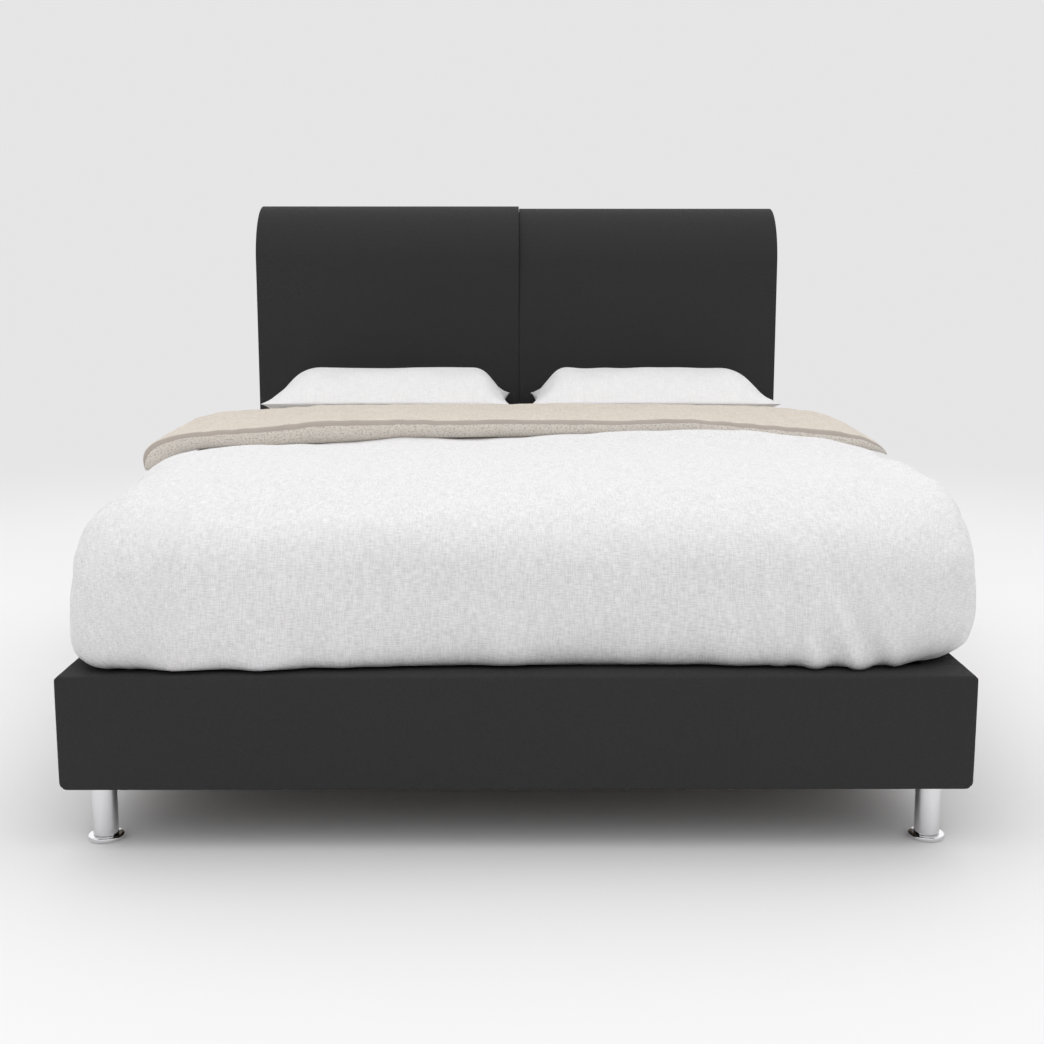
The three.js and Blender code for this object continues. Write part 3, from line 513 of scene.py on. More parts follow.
def hide_grain_group():
    """The pebbled face of a corrected hide: raised cells, fine creases and a slow change of tone."""
    group, given, gives = new_group(
        "hide_grain", {"Cells": 290.0, "Tone Scale": 2.2}, ("Height", "Valley", "Tone"))
    place = given["Vector"]
    wander = {"Vector": place, "Scale": 120.0, "Detail": 1.0}
    drift = add_node(group, "ShaderNodeTexNoise", wander).outputs["Color"]
    shift = from_node(group, "ShaderNodeVectorMath", {0: drift, 1: (0.004, 0.004, 0.004), 2: place},
                      operation="MULTIPLY_ADD")
    cells = {"Vector": shift, "Scale": given["Cells"], "Smoothness": 0.35}
    near = from_node(group, "ShaderNodeTexVoronoi", cells, feature="SMOOTH_F1")
    edge = {"Vector": shift, "Scale": maths(group, "MULTIPLY", given["Cells"], 0.42)}
    crease = from_node(group, "ShaderNodeTexVoronoi", edge, feature="DISTANCE_TO_EDGE")
    groove = rise(group, crease, 0.0, 0.12)
    dome = maths(group, "SUBTRACT", 1.0, near)
    height = maths(group, "MULTIPLY_ADD", groove, 0.55, dome)
    fine = noise(group, place, 1500.0, 2.0)
    set_input(group, gives["Height"], maths(group, "MULTIPLY_ADD", fine, 0.25, height))
    set_input(group, gives["Valley"], rise(group, near, 0.25, 0.85))
    set_input(group, gives["Tone"], noise(group, place, given["Tone Scale"], 3.0))
    return group


def black_leather():
    material, tree, shader = begin_finish("black_leather", Specular_IOR_Level=0.25)
    place = object_place(tree)
    hide = use_group(tree, hide_grain, place)
    vary(tree, shader, "Base Color", hide["Tone"], LEATHER_BLACK, LEATHER_WORN)
    rough = weighted(tree, hide["Valley"], 0.14, hide["Tone"], 0.12)
    set_input(tree, shader.inputs["Roughness"], maths(tree, "ADD", rough, LEATHER_ROUGHNESS))
    emboss(tree, shader, hide["Height"], 0.00045)
    return material


def axis_steps(low, high, radius, spacing, corner=0.0):
    """Places from low to high, set closer round both edges so that a rounded edge is smooth.
    corner is how far in a wider rounding reaches, if there is one."""
    turns = [math.pi / 4 * (1 - step / EDGE_STEPS) for step in range(EDGE_STEPS + 1)]
    rounded = [radius * (1 - math.tan(turn)) for turn in turns]
    if corner > radius:
        rounded += [radius + (corner - radius) * step / EDGE_STEPS
                    for step in range(1, EDGE_STEPS + 1)]
    edge = rounded[-1]
    flat = max(1, round((high - low - 2 * edge) / spacing))
    middle = [edge + (high - low - 2 * edge) * step / flat for step in range(1, flat)]
    return np.array([low + place for place in rounded + middle]
                    + [high - place for place in rounded[::-1]])


def lattice_box(steps):
    """The six gridded sides of a box as points and quads, for three lists of places."""
    xs, ys, zs = steps
    last = [len(axis) - 1 for axis in steps]
    index, points, faces = {}, [], []

    def at(*key):
        if key not in index:
            index[key] = len(points)
            points.append((xs[key[0]], ys[key[1]], zs[key[2]]))
        return index[key]

    for across, first, second in ((0, 1, 2), (1, 2, 0), (2, 0, 1)):
        for end in (0, last[across]):
            for i in range(last[first]):
                for j in range(last[second]):
                    corners = []
                    for di, dj in ((0, 0), (1, 0), (1, 1), (0, 1)):
                        key = [0, 0, 0]
                        key[across], key[first], key[second] = end, i + di, j + dj
                        corners.append(at(*key))
                    faces.append(corners if end else corners[::-1])
    return np.array(points), faces


def round_off(points, low, high, radius, swell):
    """Rounds a box's edges to a radius for each point, and lets its sides bulge a little."""
    low, high = np.array(low), np.array(high)
    radius = np.broadcast_to(np.asarray(radius, float), (len(points),))[:, None]
    inner = np.clip(points, low + radius, high - radius)
    away = points - inner
    away /= np.maximum(np.linalg.norm(away, axis=1, keepdims=True), 1e-12)
    share = np.abs(2 * (points - low) / (high - low) - 1) ** 6
    full = np.stack([(1 - share[:, first]) * (1 - share[:, second])
                     for first, second in ((1, 2), (0, 2), (0, 1))], axis=1)
    return inner + away * radius + away * full * np.abs(away) * swell


def round_corners(points, low, high, radius, axes):
    """Turns the square corners of a box, seen along its third axis, into round ones."""
    middle = ((np.array(low) + np.array(high)) / 2)[list(axes)]
    radius = np.broadcast_to(np.asarray(radius, float), (len(points),))[:, None]
    reach = (np.array(high) - np.array(low))[list(axes)] / 2 - radius
    local = points[:, axes] - middle
    beyond = np.clip((np.abs(local) - reach) / radius, 0, None)
    longest, shortest = beyond.max(axis=1), beyond.min(axis=1)
    angle = np.pi / 4 * shortest / np.maximum(longest, 1e-9)
    far, near = longest * np.cos(angle), longest * np.sin(angle)
    swapped = (beyond[:, 1] > beyond[:, 0])[:, None]
    disc = np.where(swapped, np.column_stack([near, far]), np.column_stack([far, near]))
    both = (beyond > 0).all(axis=1)[:, None]
    moved = np.where(both, np.sign(local) * (np.minimum(np.abs(local), reach) + disc * radius), local)
    rounded = points.copy()
    rounded[:, axes] = moved + middle
    return rounded


def shell(outer, inner, faces):
    """Closes an open surface into a wall: the same faces inside, turned round, and a rim."""
    count = len(outer)
    edges = dict.fromkeys((start, end) for face in faces
                          for start, end in zip(face, face[1:] + face[:1]))
    rim = [[end, start, start + count, end + count]
           for start, end in edges if (end, start) not in edges]
    inside = [[corner + count for corner in face[::-1]] for face in faces]
    return np.vstack([outer, inner]), faces + inside + rim


def new_piece(name, points, faces, *materials):
    """A smooth-shaded piece from points and faces, with its materials in slots."""
    mesh = bpy.data.meshes.new(name)
    mesh.from_pydata(np.asarray(points).tolist(), [], faces)
    mesh.update()
    for material in materials:
        mesh.materials.append(material)
    piece = bpy.data.objects.new(name, mesh)
    scene.collection.objects.link(piece)
    mesh.shade_smooth()
    return piece


def rail_cover(name, cover, core, butt):
    """Padded leather round a rail's box, open underneath inside the turned-under strip. butt is
    the place along Y where it is pulled tight against its neighbour."""
    low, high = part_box(cover)
    core_low, core_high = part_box(core)
    steps = [axis_steps(low[axis], high[axis], RAIL_EDGE, RAIL_SPACING, reach)
             for axis, reach in enumerate((RAIL_CORNER_REACH, 0.0, RAIL_CORNER_REACH))]
    points, faces = lattice_box(steps)
    free = np.clip(np.abs(points[:, 1] - butt) / RAIL_BUTT_REACH, 0, 1)
    radius = RAIL_BUTT_EDGE + (RAIL_EDGE - RAIL_BUTT_EDGE) * free
    above_sole = points[:, 2] > low.z + 1e-6
    outer = round_off(points, low, high, radius, RAIL_SWELL * above_sole[:, None])
    height = (points[:, 2] - low.z) / (high.z - low.z)
    corner = RAIL_BOTTOM_CORNER + (RAIL_TOP_CORNER - RAIL_BOTTOM_CORNER) * (height > 0.5)
    outer = round_corners(outer, (frame_low.x, 0, low.z), (frame_high.x, 0, high.z), corner,
                          (0, 2))
    inner = np.clip(points, np.array(core_low) - CORE_PLAY, np.array(core_high) + CORE_PLAY)
    kept = []
    for face in faces:
        middle = points[face].mean(axis=0)
        inset = min(middle[0] - low.x, high.x - middle[0], middle[1] - low.y, high.y - middle[1])
        if middle[2] > low.z + 1e-6 or inset < TURN_UNDER:
            kept.append(face)
    return new_piece(name, *shell(outer, inner, kept), leather)


hide_grain = hide_grain_group()
leather = black_leather()
frame_low, frame_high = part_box("foot_rail_cover")
for end in ("foot", "left", "right"):
    cover = rail_cover(f"{end}_rail_leather", f"{end}_rail_cover", f"{end}_rail_core",
                       frame_high.y)
    set_on(cover, "bed", "black_leather", f"{end}_rail_cover")


# ---- Chromed legs and levelling feet -------------------------------------------------------------
# A leg is a chromed steel tube with a threaded plug in its lower end, bolted up into the rail's
# corner block. Its foot is a turned disc with a soft rim, on a stud that screws into the plug.
TURNED_SIDES = 64
LEG_RADIUS, LEG_WALL = 0.0225, 0.002
LEG_PLUG, LEG_TOP_PLATE = 0.016, 0.004
LEG_BOLT_RADIUS, STUD_RADIUS = 0.005, 0.005
FOOT_RADIUS, FOOT_THICKNESS, FOOT_RIM = 0.0325, 0.009, 0.0036
STUD_PLAY, LEG_TOP_PLAY = 0.0003, 0.0003
CHAMFER = 0.0007
CHROME_LIGHT, CHROME_DARK = (0.80, 0.80, 0.81), (0.74, 0.74, 0.755)
TURNED_SHARP_ANGLE = math.radians(35)


def chrome_plate():
    material, tree, shader = begin_finish("chrome_plate", Metallic=1.0)
    place = object_place(tree)
    smears = noise(tree, stretched(tree, place, (1.0, 1.0, 0.35)), 38.0, 4.0, 0.6)
    polish = noise(tree, stretched(tree, place, (1.0, 1.0, 14.0)), 260.0, 2.0)
    vary(tree, shader, "Base Color", smears, CHROME_LIGHT, CHROME_DARK)
    vary(tree, shader, "Roughness", smears, 0.05, 0.13)
    emboss(tree, shader, polish, 0.000012)
    return material


def turned(name, profile, x, y, material):
    """Turns a closed (radius, height) outline that starts and ends on the axis."""
    turns = np.arange(TURNED_SIDES) * math.tau / TURNED_SIDES
    points, rings = [], []
    for radius, height in profile:
        if radius < 1e-9:
            rings.append([len(points)])
            points.append((x, y, height))
        else:
            rings.append(list(range(len(points), len(points) + TURNED_SIDES)))
            points += [(x + radius * math.cos(turn), y + radius * math.sin(turn), height)
                       for turn in turns]
    faces = []
    for low, high in zip(rings, rings[1:]):
        for side in range(TURNED_SIDES):
            beside = (side + 1) % TURNED_SIDES
            corners = [low[side % len(low)], low[beside % len(low)],
                       high[beside % len(high)], high[side % len(high)]]
            face = list(dict.fromkeys(corners))
            if len(face) > 2:
                faces.append(face)
    piece = new_piece(name, points, faces, material)
    piece.data.set_sharp_from_angle(angle=TURNED_SHARP_ANGLE)
    return piece


def foot_outline():
    """From the middle of the sole, round the rim and up the stud."""
    outline = [(0.0, 0.0)]
    for height, start in ((FOOT_RIM, -90), (FOOT_THICKNESS - FOOT_RIM, 0)):
        for turn in range(0, 91, 10):
            angle = math.radians(start + turn)
            outline.append((FOOT_RADIUS - FOOT_RIM + FOOT_RIM * math.cos(angle),
                            height + FOOT_RIM * math.sin(angle)))
    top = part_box("front_left_foot")[1].z
    outline += [(STUD_RADIUS + CHAMFER, FOOT_THICKNESS), (STUD_RADIUS, FOOT_THICKNESS + CHAMFER),
                (STUD_RADIUS, top - 2 * CHAMFER), (STUD_RADIUS - 2 * CHAMFER, top), (0.0, top)]
    return outline


def leg_outline():
    """From the bolt on top, down the outside to the bored lower end, and up the hollow inside."""
    low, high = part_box("front_left_leg")
    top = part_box("foot_rail_cover")[0].z - LEG_TOP_PLAY
    bore, inside = STUD_RADIUS + STUD_PLAY, LEG_RADIUS - LEG_WALL
    return [
        (0.0, high.z), (LEG_BOLT_RADIUS - CHAMFER, high.z),
        (LEG_BOLT_RADIUS, high.z - CHAMFER), (LEG_BOLT_RADIUS, top),
        (LEG_RADIUS - CHAMFER, top), (LEG_RADIUS, top - CHAMFER),
        (LEG_RADIUS, low.z + CHAMFER), (LEG_RADIUS - CHAMFER, low.z),
        (bore + CHAMFER, low.z), (bore, low.z + CHAMFER), (bore, low.z + LEG_PLUG),
        (inside, low.z + LEG_PLUG), (inside, top - LEG_TOP_PLATE), (0.0, top - LEG_TOP_PLATE),
    ]


chrome = chrome_plate()
for corner in ("front_left", "front_right", "rear_left", "rear_right"):
    low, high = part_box(f"{corner}_leg")
    x, y = (low.x + high.x) / 2, (low.y + high.y) / 2
    leg = turned(f"{corner}_tube", leg_outline()[::-1], x, y, chrome)
    set_on(leg, "bed", "chrome", f"{corner}_leg")
    foot = turned(f"{corner}_disc", foot_outline(), x, y, chrome)
    set_on(foot, f"{corner}_foot", "chrome", f"{corner}_foot")


# ---- Headboard -----------------------------------------------------------------------------------
# Two halves side by side, each a bent ply core under thick foam and leather that rolls back over
# the top. The leather is stapled inside the open back, which a thin lined panel closes.
HEADBOARD_THICKNESS = 0.070
ROLL_RADIUS = 0.172
ROLL_SWEEP = math.radians(115)
HEADBOARD_PAD, HEADBOARD_END_PAD, HEADBOARD_SIDE_PAD = 0.022, 0.014, 0.007
HEADBOARD_BACK_SKIN = 0.003
SKIN_PLAY, SKIN_END_PLAY = 0.0003, 0.0006
HEADBOARD_ROUND, JOINT_ROUND = 0.0018, 0.0006
FACE_SWELL = 0.0060
SIDE_CROWN = 0.0008
JOINT_LAP = 0.0004
RIGHT_FULLER = 0.0026
SWELL_START, SWELL_RISE = 0.72, 0.35
FACE_STEPS, ROLL_STEPS, END_STEPS, ACROSS_STEPS = 26, 46, 12, 60
PLY_LIGHT, PLY_DARK, PLY_RINGS = (0.46, 0.36, 0.25), (0.34, 0.25, 0.16), 12.0
LINING_BLACK, LINING_GREY = (0.010, 0.010, 0.011), (0.030, 0.030, 0.031)


def rolled_outline(lift, front=0.0, back=0.0, end=0.0, bottom=0.0):
    """The side view as (y, z) points: up the face, round the roll, round its end, and back down.
    front, back, end and bottom say how far the outline lies inside the padded surface."""
    centre_y, centre_z = head_y + ROLL_RADIUS, straight_top + lift
    outer = ROLL_RADIUS - front
    inner = ROLL_RADIUS - HEADBOARD_THICKNESS + back
    middle, round_end = (outer + inner) / 2, (outer - inner) / 2
    roll_end = math.pi - ROLL_SWEEP
    stop = roll_end - (HEADBOARD_THICKNESS / 2 - round_end - end) / middle
    foot = rail_bottom + lift + bottom
    cap_y, cap_z = centre_y + middle * math.cos(stop), centre_z + middle * math.sin(stop)
    points = [(centre_y - outer, foot + (centre_z - foot) * step / FACE_STEPS)
              for step in range(FACE_STEPS)]
    for step in range(ROLL_STEPS):
        angle = math.pi + (stop - math.pi) * step / ROLL_STEPS
        points.append((centre_y + outer * math.cos(angle), centre_z + outer * math.sin(angle)))
    for step in range(END_STEPS + 1):
        angle = stop - math.pi * step / END_STEPS
        points.append((cap_y + round_end * math.cos(angle), cap_z + round_end * math.sin(angle)))
    for step in range(1, ROLL_STEPS + 1):
        angle = stop + (math.pi - stop) * step / ROLL_STEPS
        points.append((centre_y + inner * math.cos(angle), centre_z + inner * math.sin(angle)))
    points += [(centre_y - inner, centre_z + (foot - centre_z) * step / FACE_STEPS)
               for step in range(1, FACE_STEPS + 1)]
    return np.array(points)


def lofted(rings):
    """Joins equal closed rings of points into a tube, with a face across each end."""
    count = len(rings[0])
    faces = []
    for row in range(len(rings) - 1):
        start, above = row * count, (row + 1) * count
        for step in range(count):
            beside = (step + 1) % count
            faces.append([start + beside, start + step, above + step, above + beside])
    faces.append(list(range(count)))
    faces.append(list(range((len(rings) - 1) * count, len(rings) * count))[::-1])
    return np.vstack(rings), faces


def along_x(outline, x0, x1):
    """A solid bar with the same outline from end to end."""
    return lofted([np.column_stack([np.full(len(outline), x), outline]) for x in (x0, x1)])


def padded_half(x0, x1, lift, swell, left_round, right_round):
    """The outer surface of one half, with rounded sides. swell takes a share across and a
    height, and says how far the face stands proud there."""
    rings = []
    turns = [math.radians(angle) for angle in (0, 15, 30, 45, 60, 75, 90)]
    # how far in from the outline, and how far in from the side's rim
    crown = [(0.030, -SIDE_CROWN), (0.022, -SIDE_CROWN * 0.9), (0.013, -SIDE_CROWN * 0.5)]
    edges = [crown + [(radius * (1 - math.sin(turn)), radius * (1 - math.cos(turn))) for turn in turns]
             for radius in (left_round, right_round)]
    start, stop = x0 + SIDE_CROWN + left_round, x1 - SIDE_CROWN - right_round
    places = [(x0 + depth + SIDE_CROWN, inset) for inset, depth in edges[0]]
    places += [(start + (stop - start) * step / ACROSS_STEPS, 0.0)
               for step in range(1, ACROSS_STEPS)]
    places += [(x1 - depth - SIDE_CROWN, inset) for inset, depth in edges[1][::-1]]
    for x, inset in places:
        outline = rolled_outline(lift, inset, inset, inset, inset)
        across = (x - x0) / (x1 - x0)
        proud = swell(across, outline[:, 1]) * (np.arange(len(outline)) < FACE_STEPS + ROLL_STEPS)
        outline[:, 0] -= proud * np.clip((head_y + ROLL_RADIUS - outline[:, 0]) / ROLL_RADIUS, 0, 1)
        rings.append(np.column_stack([np.full(len(outline), x), outline]))
    return lofted(rings)


def cut_away(piece, *cutters):
    """Cuts meshes out of a piece and keeps the result as its mesh."""
    for points, faces in cutters:
        cutter = new_piece("cutter", points, faces)
        cut = piece.modifiers.new("cut", "BOOLEAN")
        cut.operation, cut.solver, cut.object = "DIFFERENCE", "EXACT", cutter
        mesh = evaluated_mesh(piece)
        piece.modifiers.remove(cut)
        bpy.data.objects.remove(cutter)
        piece.data = mesh


def lining_cloth():
    """Thin black spun-bonded cloth, thermally dimpled in a small square pattern."""
    material, tree, shader = begin_finish("black_lining", Specular_IOR_Level=0.3)
    place = object_place(tree)
    waves = {"Vector": place, "Scale": 95.0, "Distortion": 0.3}
    dimples = maths(
        tree, "MULTIPLY",
        add_node(tree, "ShaderNodeTexWave", waves, bands_direction="X").outputs["Fac"],
        add_node(tree, "ShaderNodeTexWave", waves, bands_direction="Z").outputs["Fac"])
    fibres = noise(tree, place, 700.0, 4.0, 0.7)
    vary(tree, shader, "Base Color", fibres, LINING_BLACK, LINING_GREY)
    vary(tree, shader, "Roughness", dimples, 0.95, 0.7)
    emboss(tree, shader, maths(tree, "MULTIPLY_ADD", fibres, 0.5, dimples), 0.0003)
    return material


straight_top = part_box("headboard_right_cover")[1].z - ROLL_RADIUS
rail_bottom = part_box("headboard_right_cover")[0].z
lining = lining_cloth()
core_ply = wood("bent_ply", PLY_LIGHT, PLY_DARK, False, PLY_RINGS)
dress(core_ply, "headboard_left_core", "headboard_right_core")


def headboard_half(name, swell):
    low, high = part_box(f"headboard_{name}_cover")
    lift = low.z - rail_bottom
    inside = (low.x + HEADBOARD_SIDE_PAD, high.x - HEADBOARD_SIDE_PAD)
    x0 = low.x - JOINT_LAP * (name == "right")
    x1 = high.x + (JOINT_LAP if name == "left" else RIGHT_FULLER)
    rounds = (HEADBOARD_ROUND, JOINT_ROUND) if name == "left" else (JOINT_ROUND, HEADBOARD_ROUND)
    padded = new_piece(f"headboard_{name}_leather", *padded_half(x0, x1, lift, swell, *rounds), leather)
    pocket = rolled_outline(lift, HEADBOARD_PAD, HEADBOARD_BACK_SKIN, HEADBOARD_END_PAD, -0.001)
    window = rolled_outline(
        lift, HEADBOARD_THICKNESS - HEADBOARD_BACK_SKIN - SKIN_PLAY, -0.004, HEADBOARD_END_PAD, -0.001)
    cut_away(padded, along_x(pocket, *inside), along_x(window, *inside))
    padded.data.set_sharp_from_angle(angle=math.radians(50))
    set_on(padded, "bed", "black_leather", f"headboard_{name}_cover")
    skin = rolled_outline(
        lift, front=HEADBOARD_THICKNESS - HEADBOARD_BACK_SKIN, end=HEADBOARD_END_PAD + SKIN_END_PLAY)
    sheet = along_x(skin, inside[0] + SKIN_PLAY, inside[1] - SKIN_PLAY)
    panel = new_piece(f"headboard_{name}_lining", *sheet, lining)
    panel.data.set_sharp_from_angle(angle=math.radians(40))
    set_on(panel, "bed", "black_lining", f"headboard_{name}_back")


def left_swell(across, height):
    """The left half is plumper towards the top, most of all beside the joint."""
    upper = np.clip((height - SWELL_START) / SWELL_RISE, 0, 1) ** 2
    return FACE_SWELL * upper * (0.3 + 0.7 * min(1.0, across * 1.1))


def right_swell(across, height):
    """The right half is drawn in where it meets the joint."""
    upper = np.clip((height - SWELL_START) / SWELL_RISE, 0, 1) ** 2
    return -0.6 * FACE_SWELL * upper * max(0.0, 1 - across / 0.16) ** 2


headboard_half("left", left_swell)
headboard_half("right", right_swell)


# ---- Mattress ------------------------------------------------------------------------------------
# A foam and spring mattress in white knitted ticking: quilted in diamonds on top, with two
# stitched lines round its border and piping along its upper and lower edges.
MATTRESS_CORNER, MATTRESS_EDGE = 0.060, 0.036
MATTRESS_SPACING, BORDER_SPACING = 0.020, 0.0045
QUILT_SIZE, QUILT_DEPTH = 0.130, 0.0035
BORDER_LINES, BORDER_GROOVE, BORDER_GROOVE_WIDTH = (0.335, 0.665), 0.0040, 0.0075
PIPING_RADIUS, PIPING_PROUD = 0.0042, 0.0005
PIPING_SIDES, PIPING_CORNER_STEPS = 12, 16
TICKING_WHITE, TICKING_GREY = (0.80, 0.80, 0.80), (0.66, 0.665, 0.675)


def woven_cloth_group():
    """Plain weave with slubs: thick places in the yarn, seen as short streaks both ways.
    The vector is in metres along the cloth."""
    group, given, gives = new_group(
        "woven_cloth", {"Threads": 850.0, "Slub Length": 24.0, "Slub Width": 330.0},
        ("Weave", "Slub", "Tone"))
    parts = add_node(group, "ShaderNodeSeparateXYZ", {0: given["Vector"]}).outputs
    waves = []
    for axis in (0, 1):
        threads = maths(group, "MULTIPLY", parts[axis], given["Threads"])
        waves.append(maths(group, "SINE", maths(group, "MULTIPLY", threads, math.tau)))
    weave = maths(group, "MULTIPLY", waves[0], waves[1])
    set_input(group, gives["Weave"], maths(group, "MULTIPLY_ADD", weave, 0.5, 0.5))
    streaks = []
    for along, across in ((0, 1), (1, 0)):
        lengthwise = maths(group, "MULTIPLY", parts[along], given["Slub Length"])
        crosswise = maths(group, "MULTIPLY", parts[across], given["Slub Width"])
        parted = {0: lengthwise, 1: crosswise, 2: float(along) * 7.3}
        place = from_node(group, "ShaderNodeCombineXYZ", parted)
        streaks.append(rise(group, noise(group, place, 1.0, 1.0, 0.5), 0.36, 0.68))
    set_input(group, gives["Slub"], weighted(group, streaks[0], 0.55, streaks[1], 0.45))
    set_input(group, gives["Tone"], noise(group, given["Vector"], 9.0, 4.0, 0.6))
    return group


def cloth_place(tree):
    """Metres along the cloth, kept in the piece's own UV map."""
    return add_node(tree, "ShaderNodeUVMap", uv_map="cloth").outputs["UV"]


def ticking_finish():
    material, tree, shader = begin_finish("ticking", Specular_IOR_Level=0.25, Sheen_Weight=0.1)
    place = object_place(tree)
    knit = noise(tree, place, 620.0, 2.0)
    flowers = {"Vector": place, "Scale": 26.0}
    figure = add_node(tree, "ShaderNodeTexVoronoi", flowers, feature="SMOOTH_F1").outputs["Distance"]
    figured = rise(tree, figure, 0.28, 0.36)
    share = weighted(tree, knit, 0.35, figured, 0.4)
    vary(tree, shader, "Base Color", share, TICKING_WHITE, TICKING_GREY)
    vary(tree, shader, "Roughness", figured, 0.92, 0.7)
    emboss(tree, shader, maths(tree, "MULTIPLY_ADD", figured, 0.6, knit), 0.0004)
    return material


def mattress_pad():
    low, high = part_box("mattress")
    steps = [axis_steps(low[axis], high[axis], MATTRESS_EDGE, MATTRESS_SPACING) for axis in (0, 1)]
    points, faces = lattice_box(steps + [axis_steps(low.z, high.z, MATTRESS_EDGE, BORDER_SPACING)])
    share = (points[:, 2] - low.z) / (high.z - low.z)
    quilt = (np.abs(np.sin((points[:, 0] + points[:, 1]) * np.pi / QUILT_SIZE))
             * np.abs(np.sin((points[:, 0] - points[:, 1]) * np.pi / QUILT_SIZE))) ** 0.5
    flat = np.clip((share - 0.999) * 1e6, 0, 1)
    shaped = round_off(points, low, high, MATTRESS_EDGE, 0.0)
    shaped[:, 2] -= QUILT_DEPTH * (1 - quilt) * flat
    side = np.maximum(np.abs(points[:, 0]) / high.x,
                      np.abs(points[:, 1] - (low.y + high.y) / 2) / (high.y - low.y) * 2) > 0.9999
    groove = sum(np.exp(-(((share - line) * (high.z - low.z)) / BORDER_GROOVE_WIDTH) ** 2)
                 for line in BORDER_LINES)
    centre = np.array([0.0, (low.y + high.y) / 2])
    shrink = 1 - (BORDER_GROOVE * groove * side)[:, None] / np.array([high.x, (high.y - low.y) / 2])
    shaped[:, :2] = (shaped[:, :2] - centre) * shrink + centre
    rounded = round_corners(shaped, low, high, MATTRESS_CORNER, (0, 1))
    pad = new_piece("mattress_ticking", rounded, faces, ticking, lining)
    # Faces that point straight down get the black lining. It is an underside cloth, and its black
    # colour is also painted shade that deepens the shade under the bed.
    for face in pad.data.polygons:
        face.material_index = int(face.normal.z < -0.99)
    return pad, low, high


def piping_tree(finish):
    """Two closed loops of round piping on a rounded rectangle, one above the other."""
    inputs = {"Width": "Float", "Length": "Float", "Corner": "Float", "Radius": "Float",
              "Lower": "Vector", "Upper": "Vector"}
    tree, given, result = geometry_tree("piping", inputs)
    loop = add_node(tree, "GeometryNodeCurvePrimitiveQuadrilateral",
                    {"Width": given["Width"], "Height": given["Length"]}).outputs[0]
    rounded = add_node(tree, "GeometryNodeFilletCurve",
                       {"Curve": loop, "Count": PIPING_CORNER_STEPS, "Radius": given["Corner"]},
                       mode="POLY").outputs[0]
    ring = add_node(tree, "GeometryNodeCurvePrimitiveCircle",
                    {"Resolution": PIPING_SIDES, "Radius": given["Radius"]}).outputs[0]
    tube = from_node(tree, "GeometryNodeCurveToMesh", {"Curve": rounded, "Profile Curve": ring})
    both = add_node(tree, "GeometryNodeJoinGeometry")
    for place in ("Lower", "Upper"):
        moved = add_node(tree, "GeometryNodeTransform", {"Geometry": tube, "Translation": given[place]})
        tree.links.new(moved.outputs[0], both.inputs[0])
    close_tree(tree, result, both.outputs[0], finish)
    return tree


woven_cloth = woven_cloth_group()
ticking = ticking_finish()
mattress, mattress_low, mattress_high = mattress_pad()
set_on(mattress, "bed", "ticking", "mattress")
mattress_middle = (mattress_low + mattress_high) / 2
outset = PIPING_PROUD - PIPING_RADIUS
piping = grow(
    "mattress_piping", piping_tree(ticking),
    Width=2 * (mattress_high.x + outset), Length=mattress_high.y - mattress_low.y + 2 * outset,
    Corner=MATTRESS_CORNER, Radius=PIPING_RADIUS,
    Lower=(0.0, mattress_middle.y, mattress_low.z + MATTRESS_EDGE),
    Upper=(0.0, mattress_middle.y, mattress_high.z - MATTRESS_EDGE))
set_on(piping, "bed", "ticking")


# ---- Duvet ---------------------------------------------------------------------------------------
# A thick down duvet in a washed white cover with a linen slub. It lies over the mattress, drops
# on three sides, and rests its hem on the rails; at the sides it is fuller than the frame.
PLATEAU_HALF, PLATEAU_FRONT = 0.580, 0.450
SIDE_PROFILE = (
    # how far out and how high, from the flat top down to the hem and under it
    (0, .612), (.03, .612), (.10, .606), (.17, .592), (.222, .548), (.241, .480), (.2420, .400),
    (.2405, .350), (.2380, .3260), (.231, .3205), (.212, .3185), (.192, .318))
FRONT_PROFILE = (
    (0, .614), (.06, .613), (.14, .606), (.22, .594), (.322, .570), (.384, .530), (.4030, .450),
    (.4095, .385), (.4080, .345), (.402, .3270), (.393, .3205), (.383, .3185), (.376, .318))
SIDE_INNER = ((0, .549), (.118, .549), (.1235, .543), (.1235, .318))
FRONT_INNER = ((0, .549), (.335, .549), (.3655, .522), (.3665, .318))
OUTER_CORNER, INNER_CORNER = 4.0, 10.0
DROP_STEPS, FRONT_DROP_STEPS = 54, 64
PLATEAU_STEPS, LENGTH_STEPS = 104, 122
HEAD_ROUND, HEAD_ROUND_DEPTH = 0.050, 0.022
FOLD_ROOM = 0.014
LEFT_WIDER, RIGHT_WIDER = (0.965, 0.305), (1.118, 0.132)
RIDGE_HEIGHT, RIDGE_PLACE, RIDGE_WIDTH = 0.020, 1.03, 0.055
LEFT_SUNK, MIDDLE_SUNK, BACK_RISE = 0.021, 0.007, 0.005
SHOULDER_PROUD, SHOULDER_PLACE, SHOULDER_WIDTH = 0.060, 0.285, 0.07
PUCKER_REACH, PUCKER_SEED = 2.6, 5
HEM_ROLL, HEM_GAP, HEM_REST = 0.022, 0.002, 0.3164
FRONT_BLEND, HEM_BLEND = 0.26, 0.05
TUCK_DEPTH, TUCK_HEIGHT = 0.012, 0.045
CORNER_LIFT, CORNER_LIFT_HEIGHT = 0.0060, 0.06
LINEN_WHITE, LINEN_SHADE = (0.965, 0.959, 0.963), (0.715, 0.710, 0.716)
